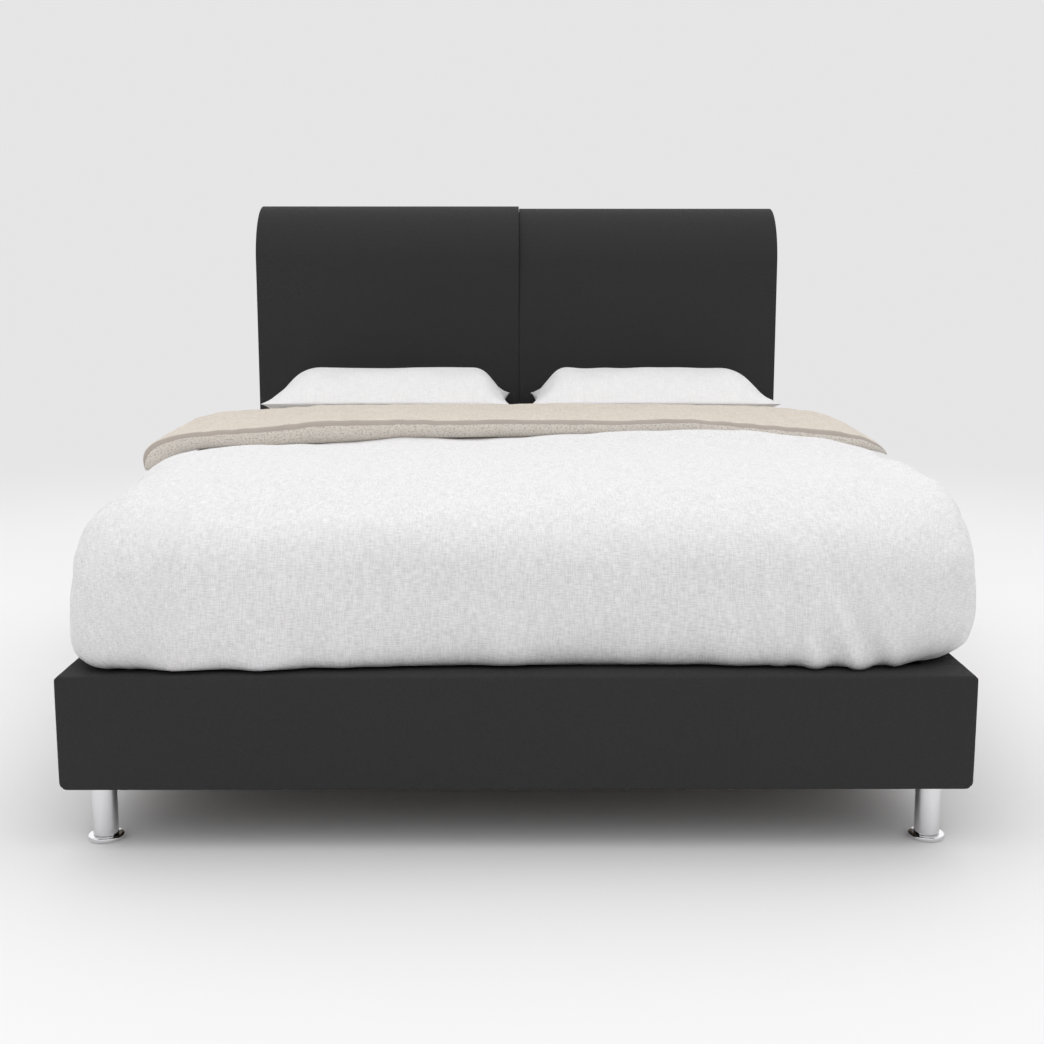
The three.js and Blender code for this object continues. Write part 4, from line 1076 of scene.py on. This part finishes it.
FRONT_CREASES = (
    # where it meets the hem in X, lean, height, half width, how far it stands out
    (-0.610, 0.10, 0.066, 0.030, 0.0032), (-0.530, 0.05, 0.077, 0.021, -0.0024),
    (-0.450, -0.15, 0.094, 0.023, 0.0034), (-0.385, 0.05, 0.072, 0.016, -0.0028),
    (-0.315, 0.10, 0.077, 0.021, 0.0030), (-0.237, 0.00, 0.061, 0.018, 0.0028),
    (-0.150, -0.10, 0.083, 0.025, -0.0022), (-0.045, 0.10, 0.072, 0.028, 0.0024),
    (0.060, 0.00, 0.066, 0.021, 0.0026), (0.160, 0.10, 0.088, 0.030, -0.0020),
    (0.270, -0.10, 0.061, 0.021, 0.0022), (0.420, -0.05, 0.120, 0.018, -0.0036),
    (0.464, -0.10, 0.160, 0.015, 0.0064), (0.494, -0.08, 0.210, 0.014, -0.0125),
    (0.522, -0.16, 0.220, 0.018, 0.0130), (0.560, -0.22, 0.210, 0.014, -0.0165),
    (0.600, -0.50, 0.190, 0.015, 0.0172), (0.644, -0.54, 0.180, 0.013, -0.0140),
    (0.668, -0.34, 0.110, 0.014, 0.0080), (0.704, -0.30, 0.094, 0.018, 0.0030),
    (0.733, -0.12, 0.110, 0.018, -0.0026), (0.770, -0.10, 0.099, 0.021, 0.0026))
HEM_START, HEM_STEP = -0.78, 0.03
FRONT_FORWARD = ((-.800, -.600, -.400, -.200, .000, .200, .400, .600, .800),
                 (.050, .042, .029, .007, .000, -.008, .008, .009, -.008))
HEM_FORWARD = (.043, .043, .037, .025, .022, .028, .042, .038, .034, .029, .031, .038, .035, .030,
               .019, .018, .019, .014, .013, .008, .008, .006, .004, .001, -.000, .004, .005, -.001,
               -.005, -.007, -.008, -.007, -.006, -.003, -.008, -.004, -.002, -.003, .004, .010, .009,
               .003, .007, .015, .016, .016, .016, .010, .007, -.002, -.004, -.006, -.014)


def linen_finish(name, light, shade, length, width, sheen=0.12):
    """Washed linen-look cotton: weave, slubs both ways and soft creases."""
    material, tree, shader = begin_finish(
        name, Specular_IOR_Level=0.2, Sheen_Weight=sheen, Sheen_Roughness=0.5)
    place = cloth_place(tree)
    cloth = use_group(tree, woven_cloth, place, Slub_Length=length, Slub_Width=width)
    blotches = noise(tree, place, 20.0, 4.0, 0.7)
    slubs = maths(tree, "MULTIPLY_ADD", cloth["Slub"], 0.95, -0.125)
    share = maths(tree, "MULTIPLY_ADD", blotches, 0.26, slubs)
    vary(tree, shader, "Base Color", share, light, shade)
    vary(tree, shader, "Roughness", cloth["Slub"], 0.94, 0.80)
    creases = noise(tree, place, 18.0, 5.0, 0.65)
    height = weighted(tree, cloth["Slub"], 0.12, cloth["Weave"], 0.03)
    emboss(tree, shader, maths(tree, "MULTIPLY_ADD", creases, 0.9, height), 0.0035)
    return material


def cut_corners(line, times):
    """Rounds a broken line by cutting each corner a quarter of the way along."""
    for _ in range(times):
        near, far = line[:-1] * 0.75 + line[1:] * 0.25, line[:-1] * 0.25 + line[1:] * 0.75
        cut = np.stack([near, far], axis=1).reshape(-1, line.shape[1])
        line = np.vstack([line[:1], cut, line[-1:]])
    return line


def run_along(line):
    """The distance along a line from its start to each of its points."""
    return np.concatenate([[0], np.cumsum(np.linalg.norm(np.diff(line, axis=0), axis=1))])


def smooth_profile(corners, steps):
    """Rounds a broken line and takes equal steps along it."""
    line = cut_corners(np.array(corners, float), 4)
    length = run_along(line)
    places = np.linspace(0, length[-1], steps + 1)
    return np.column_stack([np.interp(places, length, line[:, axis]) for axis in (0, 1)]), length[-1]


def smooth_step(value, low, high):
    share = np.clip((value - low) / (high - low), 0, 1)
    return share * share * (3 - 2 * share)


class Drape:
    """A cloth surface over the bed: flat on top, and dropping at both sides and the front.
    side runs from -1, the left hem, over 0, the flat top, to 1, the right hem."""

    def __init__(self, side_profile, front_profile, corner):
        self.side, self.side_length = smooth_profile(side_profile, 240)
        self.front, self.front_length = smooth_profile(front_profile, 240)
        self.corner = corner

    def along(self, profile, share, column):
        return np.interp(share, np.linspace(0, 1, len(profile)), profile[:, column])

    def place(self, across, side, behind, front):
        """across is X on the flat top, side the signed share of the side drop, behind the
        distance from the foot rail's face, front the share of the front drop."""
        reach = np.maximum(np.abs(side), front)
        least = np.minimum(np.abs(side), front) / np.maximum(reach, 1e-9)
        middle = 0.5 ** (1 / self.corner)
        short = middle * least
        long = (1 - short ** self.corner) ** (1 / self.corner)
        steep = np.abs(side) >= front
        out_x, out_y = np.where(steep, long, short), np.where(steep, short, long)
        turn = np.where(steep, least / 2, 1 - least / 2)
        fuller = smooth_step(behind, 0.20, 1.1)
        left, right = (least + more * fuller for least, more in (LEFT_WIDER, RIGHT_WIDER))
        wide = np.where(side < 0, left, right)
        x = across + np.sign(side) * out_x * self.along(self.side, reach, 0) * self.widen(wide)
        y = behind - np.where(front > 0, out_y * self.along(self.front, reach, 0), 0)
        z = (self.along(self.side, reach, 1) * (1 - turn) + self.along(self.front, reach, 1) * turn)
        return np.stack([x, y, z], axis=-1)

    def widen(self, wide):
        return wide


class Lining(Drape):
    """The side that lies on the mattress: it doesn't grow wider."""

    def widen(self, wide):
        return 1.0


def waves(points, seed, count, shortest, longest):
    """A smooth random field of plane waves, about -1 to 1."""
    chance = np.random.default_rng(seed)
    total = np.zeros(points.shape[:-1])
    for _ in range(count):
        turn, phase = chance.uniform(0, math.tau, 2)
        length = chance.uniform(shortest, longest)
        way = np.array([math.cos(turn), math.sin(turn)]) * math.tau / length
        total += np.sin(points @ way + phase)
    return total / math.sqrt(count)


def grid_faces(rows, columns):
    corner = np.arange(rows - 1)[:, None] * columns + np.arange(columns - 1)[None, :]
    quads = np.stack([corner, corner + 1, corner + columns + 1, corner + columns], axis=-1)
    return quads.reshape(-1, 4).tolist()


def grid_normals(grid):
    down, over = np.gradient(grid, axis=0), np.gradient(grid, axis=1)
    normals = np.cross(down, over)
    return normals / np.maximum(np.linalg.norm(normals, axis=-1, keepdims=True), 1e-12)


def give_cloth_map(piece, places):
    """Writes each vertex's place along the cloth, in metres, as the UV map."""
    layer = piece.data.uv_layers.new(name="cloth")
    corners = np.empty(len(piece.data.loops), np.int32)
    piece.data.loops.foreach_get("vertex_index", corners)
    layer.data.foreach_set("uv", np.asarray(places, np.float32)[corners].ravel())


def duvet_lattice(head_end):
    """Shares and distances for each row (head to foot) and column (left to right)."""
    drop = np.linspace(0, 1, DROP_STEPS + 1)
    side = np.concatenate([-drop[:0:-1], np.zeros(PLATEAU_STEPS + 1), drop[1:]])
    flat = np.linspace(-PLATEAU_HALF, PLATEAU_HALF, PLATEAU_STEPS + 1)
    ends = np.full(DROP_STEPS, PLATEAU_HALF)
    across = np.concatenate([-ends, flat, ends])
    length = np.linspace(head_end, PLATEAU_FRONT, LENGTH_STEPS + 1)
    behind = np.concatenate([length, np.full(FRONT_DROP_STEPS, PLATEAU_FRONT)])
    front = np.concatenate([np.zeros(LENGTH_STEPS + 1), np.linspace(0, 1, FRONT_DROP_STEPS + 1)[1:]])
    return np.meshgrid(across, behind), np.meshgrid(side, front)


def duvet_swell(grid, cloth, hem_distance):
    """How far the filling pushes the cover out or lets it sink, along its normal. In front of
    the turned-back layer it stands up in a ridge on the right and sinks on the left, and the
    right shoulder is the fuller one."""
    x, y = grid[..., 0], grid[..., 1]
    soft = 0.0030 * waves(cloth, 11, 14, 0.22, 0.55) + 0.0012 * waves(cloth, 12, 18, 0.07, 0.16)
    right = smooth_step(x, 0.0, 0.35) * (1 - 0.6 * smooth_step(x, 0.55, 0.70))
    ridge = RIDGE_HEIGHT * np.exp(-((y - RIDGE_PLACE) / RIDGE_WIDTH) ** 2 / 2) * right
    left = smooth_step(-x, 0.25, 0.62) * (1 - 0.45 * smooth_step(-x, 0.64, 0.78))
    sunk = LEFT_SUNK * left + MIDDLE_SUNK * smooth_step(-x, -0.12, 0.10)
    dip = -sunk * smooth_step(y, 0.90, 1.04)
    rise_back = BACK_RISE * smooth_step(y, 0.40, 0.62)
    near_layer = smooth_step(y, 0.50, 1.10)
    shoulder = SHOULDER_PROUD * np.exp(-((hem_distance - SHOULDER_PLACE) / SHOULDER_WIDTH) ** 2)
    shoulder *= smooth_step(y, 0.13, 0.52)
    shoulder *= smooth_step(x - 0.02 * near_layer, 0.74, 0.86) * (1 - 0.56 * near_layer)
    upright = smooth_step(hem_distance, 0.0, 0.20)
    inland = (ridge + dip + rise_back) * smooth_step(hem_distance, 0.14, 0.30)
    return soft * (0.5 + 0.5 * upright) + inland + shoulder


def creases_at(along, hem_distance, rows):
    """Folds and ridges that run up from given places on the hem and die out."""
    total = np.zeros(along.shape)
    taking_hold = 0.55 + 0.45 * smooth_step(hem_distance, 0.0, 0.05)
    for place, lean, tall, width, proud in rows:
        off = along - place - lean * hem_distance
        broad = width * (1 + 3.0 * hem_distance)
        fade = np.exp(-(hem_distance / tall) ** 2) * taking_hold
        total += proud * np.exp(-(off / broad) ** 2 / 2) * fade
    return total


def hem_puckers(along, hem_distance, seed):
    """The same at seeded places, all along both sides."""
    chance = np.random.default_rng(seed)
    place, rows = -PUCKER_REACH, []
    while place < PUCKER_REACH:
        place += chance.uniform(0.045, 0.100)
        way = chance.choice((-1.0, 1.0))
        rows.append((place, chance.uniform(-0.3, 0.3), chance.uniform(0.045, 0.120),
                     chance.uniform(0.011, 0.026), way * chance.uniform(0.002, 0.0065)))
    return creases_at(along, hem_distance, rows)


def make_duvet():
    """The cover as one closed shell, and how far behind the foot rail its head end lies."""
    head_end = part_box("duvet")[1].y - foot_y - FOLD_ROOM
    (across, behind), (side, front) = duvet_lattice(head_end)
    outer = Drape(SIDE_PROFILE, FRONT_PROFILE, OUTER_CORNER)
    lining_side = Lining(SIDE_INNER, FRONT_INNER, INNER_CORNER)
    grid = outer.place(across, side, behind, front)
    cloth = np.stack([across + side * outer.side_length, behind - front * outer.front_length], axis=-1)
    from_hem = np.minimum((1 - np.abs(side)) * outer.side_length, (1 - front) * outer.front_length)
    at_side = smooth_step(np.abs(side) - front, -0.15, 0.25)
    grown = duvet_swell(grid, cloth, from_hem)
    puckers = hem_puckers(np.sign(side) * behind, from_hem, PUCKER_SEED)
    grown += puckers * at_side * smooth_step(behind, 0.35, 0.6)
    from_rim = np.maximum(from_hem - HEM_ROLL, 0)
    grown += creases_at(grid[..., 0], from_rim, FRONT_CREASES) * (1 - at_side)
    to_head = np.clip((behind - (head_end - HEAD_ROUND)) / HEAD_ROUND, 0, 1)
    grown -= HEAD_ROUND_DEPTH * (1 - np.sqrt(1 - to_head ** 2))
    settled = smooth_step(from_hem, 0.004, 0.026)
    grid = grid + grid_normals(grid) * (grown * settled)[..., None]
    inside = lining_side.place(across, side, behind, front)
    broad = np.interp(grid[..., 0], *FRONT_FORWARD)
    full_front = broad * np.exp(-(from_rim / FRONT_BLEND) ** 2)
    low_down = np.exp(-(from_rim / HEM_BLEND) ** 2)
    hem_places = HEM_START + HEM_STEP * np.arange(len(HEM_FORWARD))
    fine_hem = np.interp(grid[..., 0], hem_places, HEM_FORWARD) - broad
    hem_line = (full_front + fine_hem * low_down) * (1 - at_side)
    forward = np.minimum(grid[..., 1] - hem_line, inside[..., 1] - HEM_GAP)
    grid[..., 1] = np.where(front > 0, forward, grid[..., 1])
    tuck = TUCK_DEPTH * np.exp(-(from_rim / TUCK_HEIGHT) ** 2) * smooth_step(grid[..., 0], 0.62, 0.86)
    grid[..., 0] -= tuck * smooth_step(-behind, -0.7, -0.4)
    grid[..., 2] = np.maximum(grid[..., 2], HEM_REST)
    lift = CORNER_LIFT * smooth_step(grid[..., 0], 0.64, 0.80)
    lift *= np.exp(-(from_hem / CORNER_LIFT_HEIGHT) ** 2) * (front > 0)
    grid[..., 2] += lift
    inside[..., 2] += lift
    for surface in (grid, inside):
        surface[..., 1] += foot_y
    rows, columns = side.shape
    points, faces = shell(grid.reshape(-1, 3), inside.reshape(-1, 3), grid_faces(rows, columns))
    piece = new_piece("duvet_cover", points, faces, linen)
    give_cloth_map(piece, np.vstack([cloth.reshape(-1, 2)] * 2))
    return piece, head_end


linen = linen_finish("white_linen", LINEN_WHITE, LINEN_SHADE, 60.0, 620.0)
duvet, duvet_head_end = make_duvet()
set_on(duvet, "bed", "white_linen", "duvet")


# ---- Turned-back layer ---------------------------------------------------------------------------
# The head end of the bedding, folded back over the duvet so that its beige underside shows. It
# has a padded hem with a narrow taupe binding, and hangs a little way down both sides.
LAYER_HEM = 1.115
LAYER_THICKNESS = 0.038
BEIGE_LIGHT, BEIGE_SHADE = (0.825, 0.755, 0.66), (0.615, 0.55, 0.47)
BAND_LIGHT, BAND_DARK = (1.0, 0.95, 0.865), (0.58, 0.50, 0.43)
TAUPE = (0.60, 0.53, 0.47)
LAYER_GAP, THICK_FROM = 0.0012, 0.0013
SIDE_RISE = 0.010
HEM_STEPS, TOP_ROWS, UNDER_ROWS, FOLD_STEPS = 18, 46, 24, 34
BAND_ROWS, BINDING_ROWS = 12, 16
LAYER_SPACING = 0.012
LAYER_SECTION = (
    # X and Z of the upper side, then of the side that rests on the duvet, from the left tip
    (-.9180, .533, -.9050, .531), (-.9235, .550, -.893, .533), (-.919, .576, -.878, .540),
    (-.903, .594, -.862, .550), (-.883, .605, -.845, .563), (-.830, .6200, -.800, .579),
    (-.765, .628, -.740, .585), (-.625, .638, -.610, .588), (-.502, .650, -.495, .596),
    (-.392, .655, -.390, .601), (-.286, .655, -.286, .608), (0, .655, 0, .611),
    (.392, .655, .390, .617), (.498, .651, .495, .613), (.668, .639, .655, .596),
    (.749, .633, .735, .588), (.832, .624, .815, .584), (.880, .607, .862, .584),
    (.904, .590, .890, .576), (.914, .575, .908, .570))


def beige_finish():
    """The plain side: fine close weave with a warm, even tone."""
    material, tree, shader = begin_finish(
        "beige_linen", Specular_IOR_Level=0.2, Sheen_Weight=0.15, Sheen_Roughness=0.5)
    place = cloth_place(tree)
    cloth = use_group(tree, woven_cloth, place, Slub_Length=26.0, Slub_Width=200.0)
    share = weighted(tree, cloth["Slub"], 0.7, cloth["Tone"], 0.25)
    vary(tree, shader, "Base Color", share, BEIGE_LIGHT, BEIGE_SHADE)
    vary(tree, shader, "Roughness", cloth["Slub"], 0.92, 0.78)
    creases = noise(tree, place, 9.0, 4.0, 0.55)
    height = weighted(tree, cloth["Slub"], 0.08, cloth["Weave"], 0.05)
    emboss(tree, shader, maths(tree, "MULTIPLY_ADD", creases, 0.7, height), 0.0035)
    return material


def band_finish():
    """The hem's melange yarn: a coarse weave of pale and brown threads."""
    material, tree, shader = begin_finish(
        "melange_band", Specular_IOR_Level=0.2, Sheen_Weight=0.2, Sheen_Roughness=0.5)
    place = cloth_place(tree)
    cloth = use_group(tree, woven_cloth, place, Slub_Length=90.0, Slub_Width=420.0)
    specks = noise(tree, stretched(tree, place, (1.0, 1.6, 1.0)), 190.0, 3.0, 0.75)
    share = maths(tree, "MULTIPLY_ADD", cloth["Slub"], 0.4, rise(tree, specks, 0.49, 0.65))
    vary(tree, shader, "Base Color", maths(tree, "MULTIPLY", share, 0.8), BAND_LIGHT, BAND_DARK)
    vary(tree, shader, "Roughness", specks, 0.95, 0.82)
    emboss(tree, shader, maths(tree, "ADD", specks, cloth["Weave"]), 0.0006)
    return material


def binding_finish():
    material, tree, shader = begin_finish("taupe_binding", Specular_IOR_Level=0.25, Sheen_Weight=0.1)
    place = cloth_place(tree)
    cloth = use_group(tree, woven_cloth, place)
    vary(tree, shader, "Base Color", cloth["Tone"], TAUPE, tuple(part * 0.8 for part in TAUPE))
    vary(tree, shader, "Roughness", cloth["Weave"], 0.85, 0.7)
    emboss(tree, shader, cloth["Weave"], 0.0004)
    return material


def layer_section(full):
    """The closed side view as (behind, height above the duvet) points, from the underside's
    front edge up round the hem, back over the top, and down round the head end."""
    half = full / 2
    hem = [(LAYER_HEM + half - half * 1.15 * math.sin(turn), half - half * math.cos(turn))
           for turn in np.linspace(0, math.pi, HEM_STEPS + 1)]
    end = duvet_head_end + FOLD_ROOM
    top = np.linspace(LAYER_HEM + half, end - 0.050, TOP_ROWS)[1:]
    over = [(place, full) for place in top]
    fold = smooth_profile(((end - 0.050, full), (end - 0.022, full), (end - 0.003, full * 0.62),
                           (end + 0.0015, -0.008), (end, -0.052), (end - 0.004, -0.066),
                           (end - 0.009, -0.064), (end - 0.0125, -0.030), (end - 0.0128, -0.004),
                           (end - 0.022, 0.002), (end - 0.050, LAYER_GAP)), FOLD_STEPS)[0]
    under = [(place, LAYER_GAP)
             for place in np.linspace(end - 0.050, LAYER_HEM + half, UNDER_ROWS)[1:-1]]
    return np.array(hem + over + [tuple(point) for point in fold[1:]] + under)


def layer_columns():
    """Upper and lower (x, z) points across the layer, smoothed and evenly spaced."""
    line = cut_corners(np.array(LAYER_SECTION), 2)
    run = run_along(line[:, :2])
    places = np.linspace(0, run[-1], round(run[-1] / LAYER_SPACING) + 1)
    return np.column_stack([np.interp(places, run, line[:, axis]) for axis in range(4)]), places


def make_layer():
    section = layer_section(LAYER_THICKNESS)
    line, run = layer_columns()
    over, under = line[:, :2], line[:, 2:]
    thick = np.linalg.norm(over - under, axis=1)
    way = (over - under) / thick[:, None]
    rows, columns = len(section), len(line)
    behind = np.repeat(section[:, :1], columns, axis=1)
    height = np.repeat(section[:, 1:], columns, axis=1)
    near_hem = 1 - smooth_step(behind, LAYER_HEM + 0.03, LAYER_HEM + 0.20)
    cloth = np.stack([np.repeat(run[None, :], rows, axis=0), behind], axis=-1)
    height = np.where(height > THICK_FROM, height * thick / LAYER_THICKNESS, height)
    soft = 0.0022 * waves(cloth, 21, 12, 0.2, 0.5) + 0.0009 * waves(cloth, 22, 14, 0.05, 0.12)
    height = height + soft * (height > 0.002)
    wander = 0.004 * waves(cloth * [1, 0], 31, 8, 0.25, 0.7) * near_hem
    x = under[:, 0] + way[:, 0] * height
    z = under[:, 1] + way[:, 1] * height
    further_back = smooth_step(behind, LAYER_HEM + 0.1, LAYER_HEM + 0.4)
    z = z + SIDE_RISE * smooth_step(np.abs(x), 0.45, 0.65) * further_back
    grid = np.stack([x, behind + wander + foot_y, z], axis=-1)
    faces = []
    for row in range(rows):
        below = (row + 1) % rows
        for column in range(columns - 1):
            faces.append([row * columns + column, below * columns + column,
                          below * columns + column + 1, row * columns + column + 1])
    faces.append([row * columns for row in range(rows)][::-1])
    faces.append([row * columns + columns - 1 for row in range(rows)])
    piece = new_piece("turned_back_layer", grid.reshape(-1, 3), faces, beige, band, binding)
    cloth[..., 1] = run_along(section)[:, None]
    give_cloth_map(piece, cloth.reshape(-1, 2))
    for number, face in enumerate(piece.data.polygons):
        row = number // (columns - 1)
        if row < BAND_ROWS:
            face.material_index = 1
        elif row < BINDING_ROWS:
            face.material_index = 2
    return piece


beige, band, binding = beige_finish(), band_finish(), binding_finish()
layer = make_layer()
set_on(layer, "bed", "beige_linen", "turned_back_blanket")


# ---- Pillows -------------------------------------------------------------------------------------
# Two soft pillows in plain white cases, sewn from two rectangles and stuffed. They lie flat on
# the mattress against the headboard, with their corners drawn out into points.
PILLOW_CUT = (0.800, 0.540)
PILLOW_STEP = 0.0125
PILLOW_FRAMES = 24
PILLOW_PRESSURE = 4.0
PILLOW_GIVE, PILLOW_SHARE = 0.008, 0.9
PILLOW_RUNS, PILLOW_WAIST = (0.29, 0.40), (0.05, 0.08)
PILLOW_SEED = 40
COTTON_WHITE, COTTON_SHADE = (1.0, 1.0, 1.0), (0.88, 0.876, 0.882)
PILLOW_PLACES = {"left": (-0.731, -0.008), "right": (0.031, 0.757)}
PILLOW_DEPTH = (1.640, 2.082)
PILLOW_SEAM, PILLOW_TOP = 0.651, 0.733
PILLOW_REST = 0.5462


def pillow_case(x0, x1):
    """Two rectangles of cloth sewn round the edge, already full: points, faces, and each
    vertex's place in the cut."""
    columns = round(PILLOW_CUT[0] / PILLOW_STEP) + 1
    rows = round(PILLOW_CUT[1] / PILLOW_STEP) + 1
    u, v = np.meshgrid(np.linspace(-1, 1, columns), np.linspace(-1, 1, rows))
    inner = u * (x0 + x1) < 0
    full = 1 - (1 - np.clip((1 - np.abs(u)) / np.where(inner, *PILLOW_RUNS), 0, 1)) ** 1.9
    full = full * (1 - np.abs(v) ** 1.5)
    x = (x0 + x1) / 2 + (x1 - x0) / 2 * u * (1 - PILLOW_WAIST[0] * (1 - v ** 2))
    y0, y1 = PILLOW_DEPTH
    y = (y0 + y1) / 2 + (y1 - y0) / 2 * v * (1 - PILLOW_WAIST[1] * (1 - u ** 2))
    upper = PILLOW_SEAM + (PILLOW_TOP - PILLOW_SEAM) * full
    lower = PILLOW_SEAM - (PILLOW_SEAM - PILLOW_REST) * (1 - (1 - full) ** 2)
    edge = (np.abs(u) == 1) | (np.abs(v) == 1)
    top = np.arange(rows * columns).reshape(rows, columns)
    under = np.where(edge, top, rows * columns + np.cumsum(~edge).reshape(rows, columns) - 1)
    points = np.vstack([np.dstack([x, y, upper]).reshape(-1, 3), np.dstack([x, y, lower])[~edge]])
    faces = []
    for sheet, turned_over in ((top, False), (under, True)):
        quads = np.stack([sheet[:-1, :-1], sheet[:-1, 1:], sheet[1:, 1:], sheet[1:, :-1]], axis=-1)
        faces += [quad[::-1] if turned_over else quad for quad in quads.reshape(-1, 4).tolist()]
    flat = np.stack([u * PILLOW_CUT[0] / 2, v * PILLOW_CUT[1] / 2], axis=-1)
    cut = np.vstack([flat.reshape(-1, 2), flat[~edge] + [0.0, 1.0]])
    return points + [0.0, foot_y, 0.0], faces, cut


def stuff(piece):
    """Blows the sewn case up with Blender's cloth until the filling holds it."""
    cloth = piece.modifiers.new("cloth", "CLOTH")
    settings = cloth.settings
    settings.quality = 6
    settings.mass = 0.25
    settings.tension_stiffness = settings.compression_stiffness = 40.0
    settings.shear_stiffness = 12.0
    settings.bending_stiffness = 0.4
    settings.use_pressure = True
    settings.uniform_pressure_force = PILLOW_PRESSURE
    settings.effector_weights.gravity = 0.0
    cloth.collision_settings.use_collision = False
    cloth.point_cache.frame_end = PILLOW_FRAMES
    for frame_number in range(1, PILLOW_FRAMES + 1):
        scene.frame_set(frame_number)
    graph = bpy.context.evaluated_depsgraph_get()
    mesh = piece.evaluated_get(graph).to_mesh()
    places = np.empty(len(mesh.vertices) * 3)
    mesh.vertices.foreach_get("co", places)
    piece.evaluated_get(graph).to_mesh_clear()
    piece.modifiers.remove(cloth)
    scene.frame_set(1)
    return places.reshape(-1, 3)


def make_pillow(name, x0, x1, seed):
    points, faces, cut = pillow_case(x0, x1)
    piece = new_piece(f"pillow_{name}", points, faces, pillow_cotton)
    moved = stuff(piece) - points
    far = np.linalg.norm(moved, axis=1, keepdims=True)
    points = points + moved * np.minimum(1, PILLOW_GIVE / np.maximum(far, 1e-9)) * PILLOW_SHARE
    soft = 0.0020 * waves(points[:, :2], seed, 12, 0.10, 0.26) * (points[:, 2] > PILLOW_SEAM + 0.01)
    points[:, 2] += soft
    piece.data.vertices.foreach_set("co", points.ravel())
    piece.data.update()
    give_cloth_map(piece, cut)
    smooth = piece.modifiers.new("smooth", "SUBSURF")
    smooth.levels = smooth.render_levels = 1
    mesh = evaluated_mesh(piece)
    piece.modifiers.clear()
    piece.data = mesh
    set_on(piece, "bed", "white_linen", f"{name}_pillow")


pillow_cotton = linen_finish("white_pillow_cotton", COTTON_WHITE, COTTON_SHADE, 30.0, 330.0, 1.0)
for number, (name, (x0, x1)) in enumerate(PILLOW_PLACES.items()):
    make_pillow(name, x0, x1, PILLOW_SEED + number)
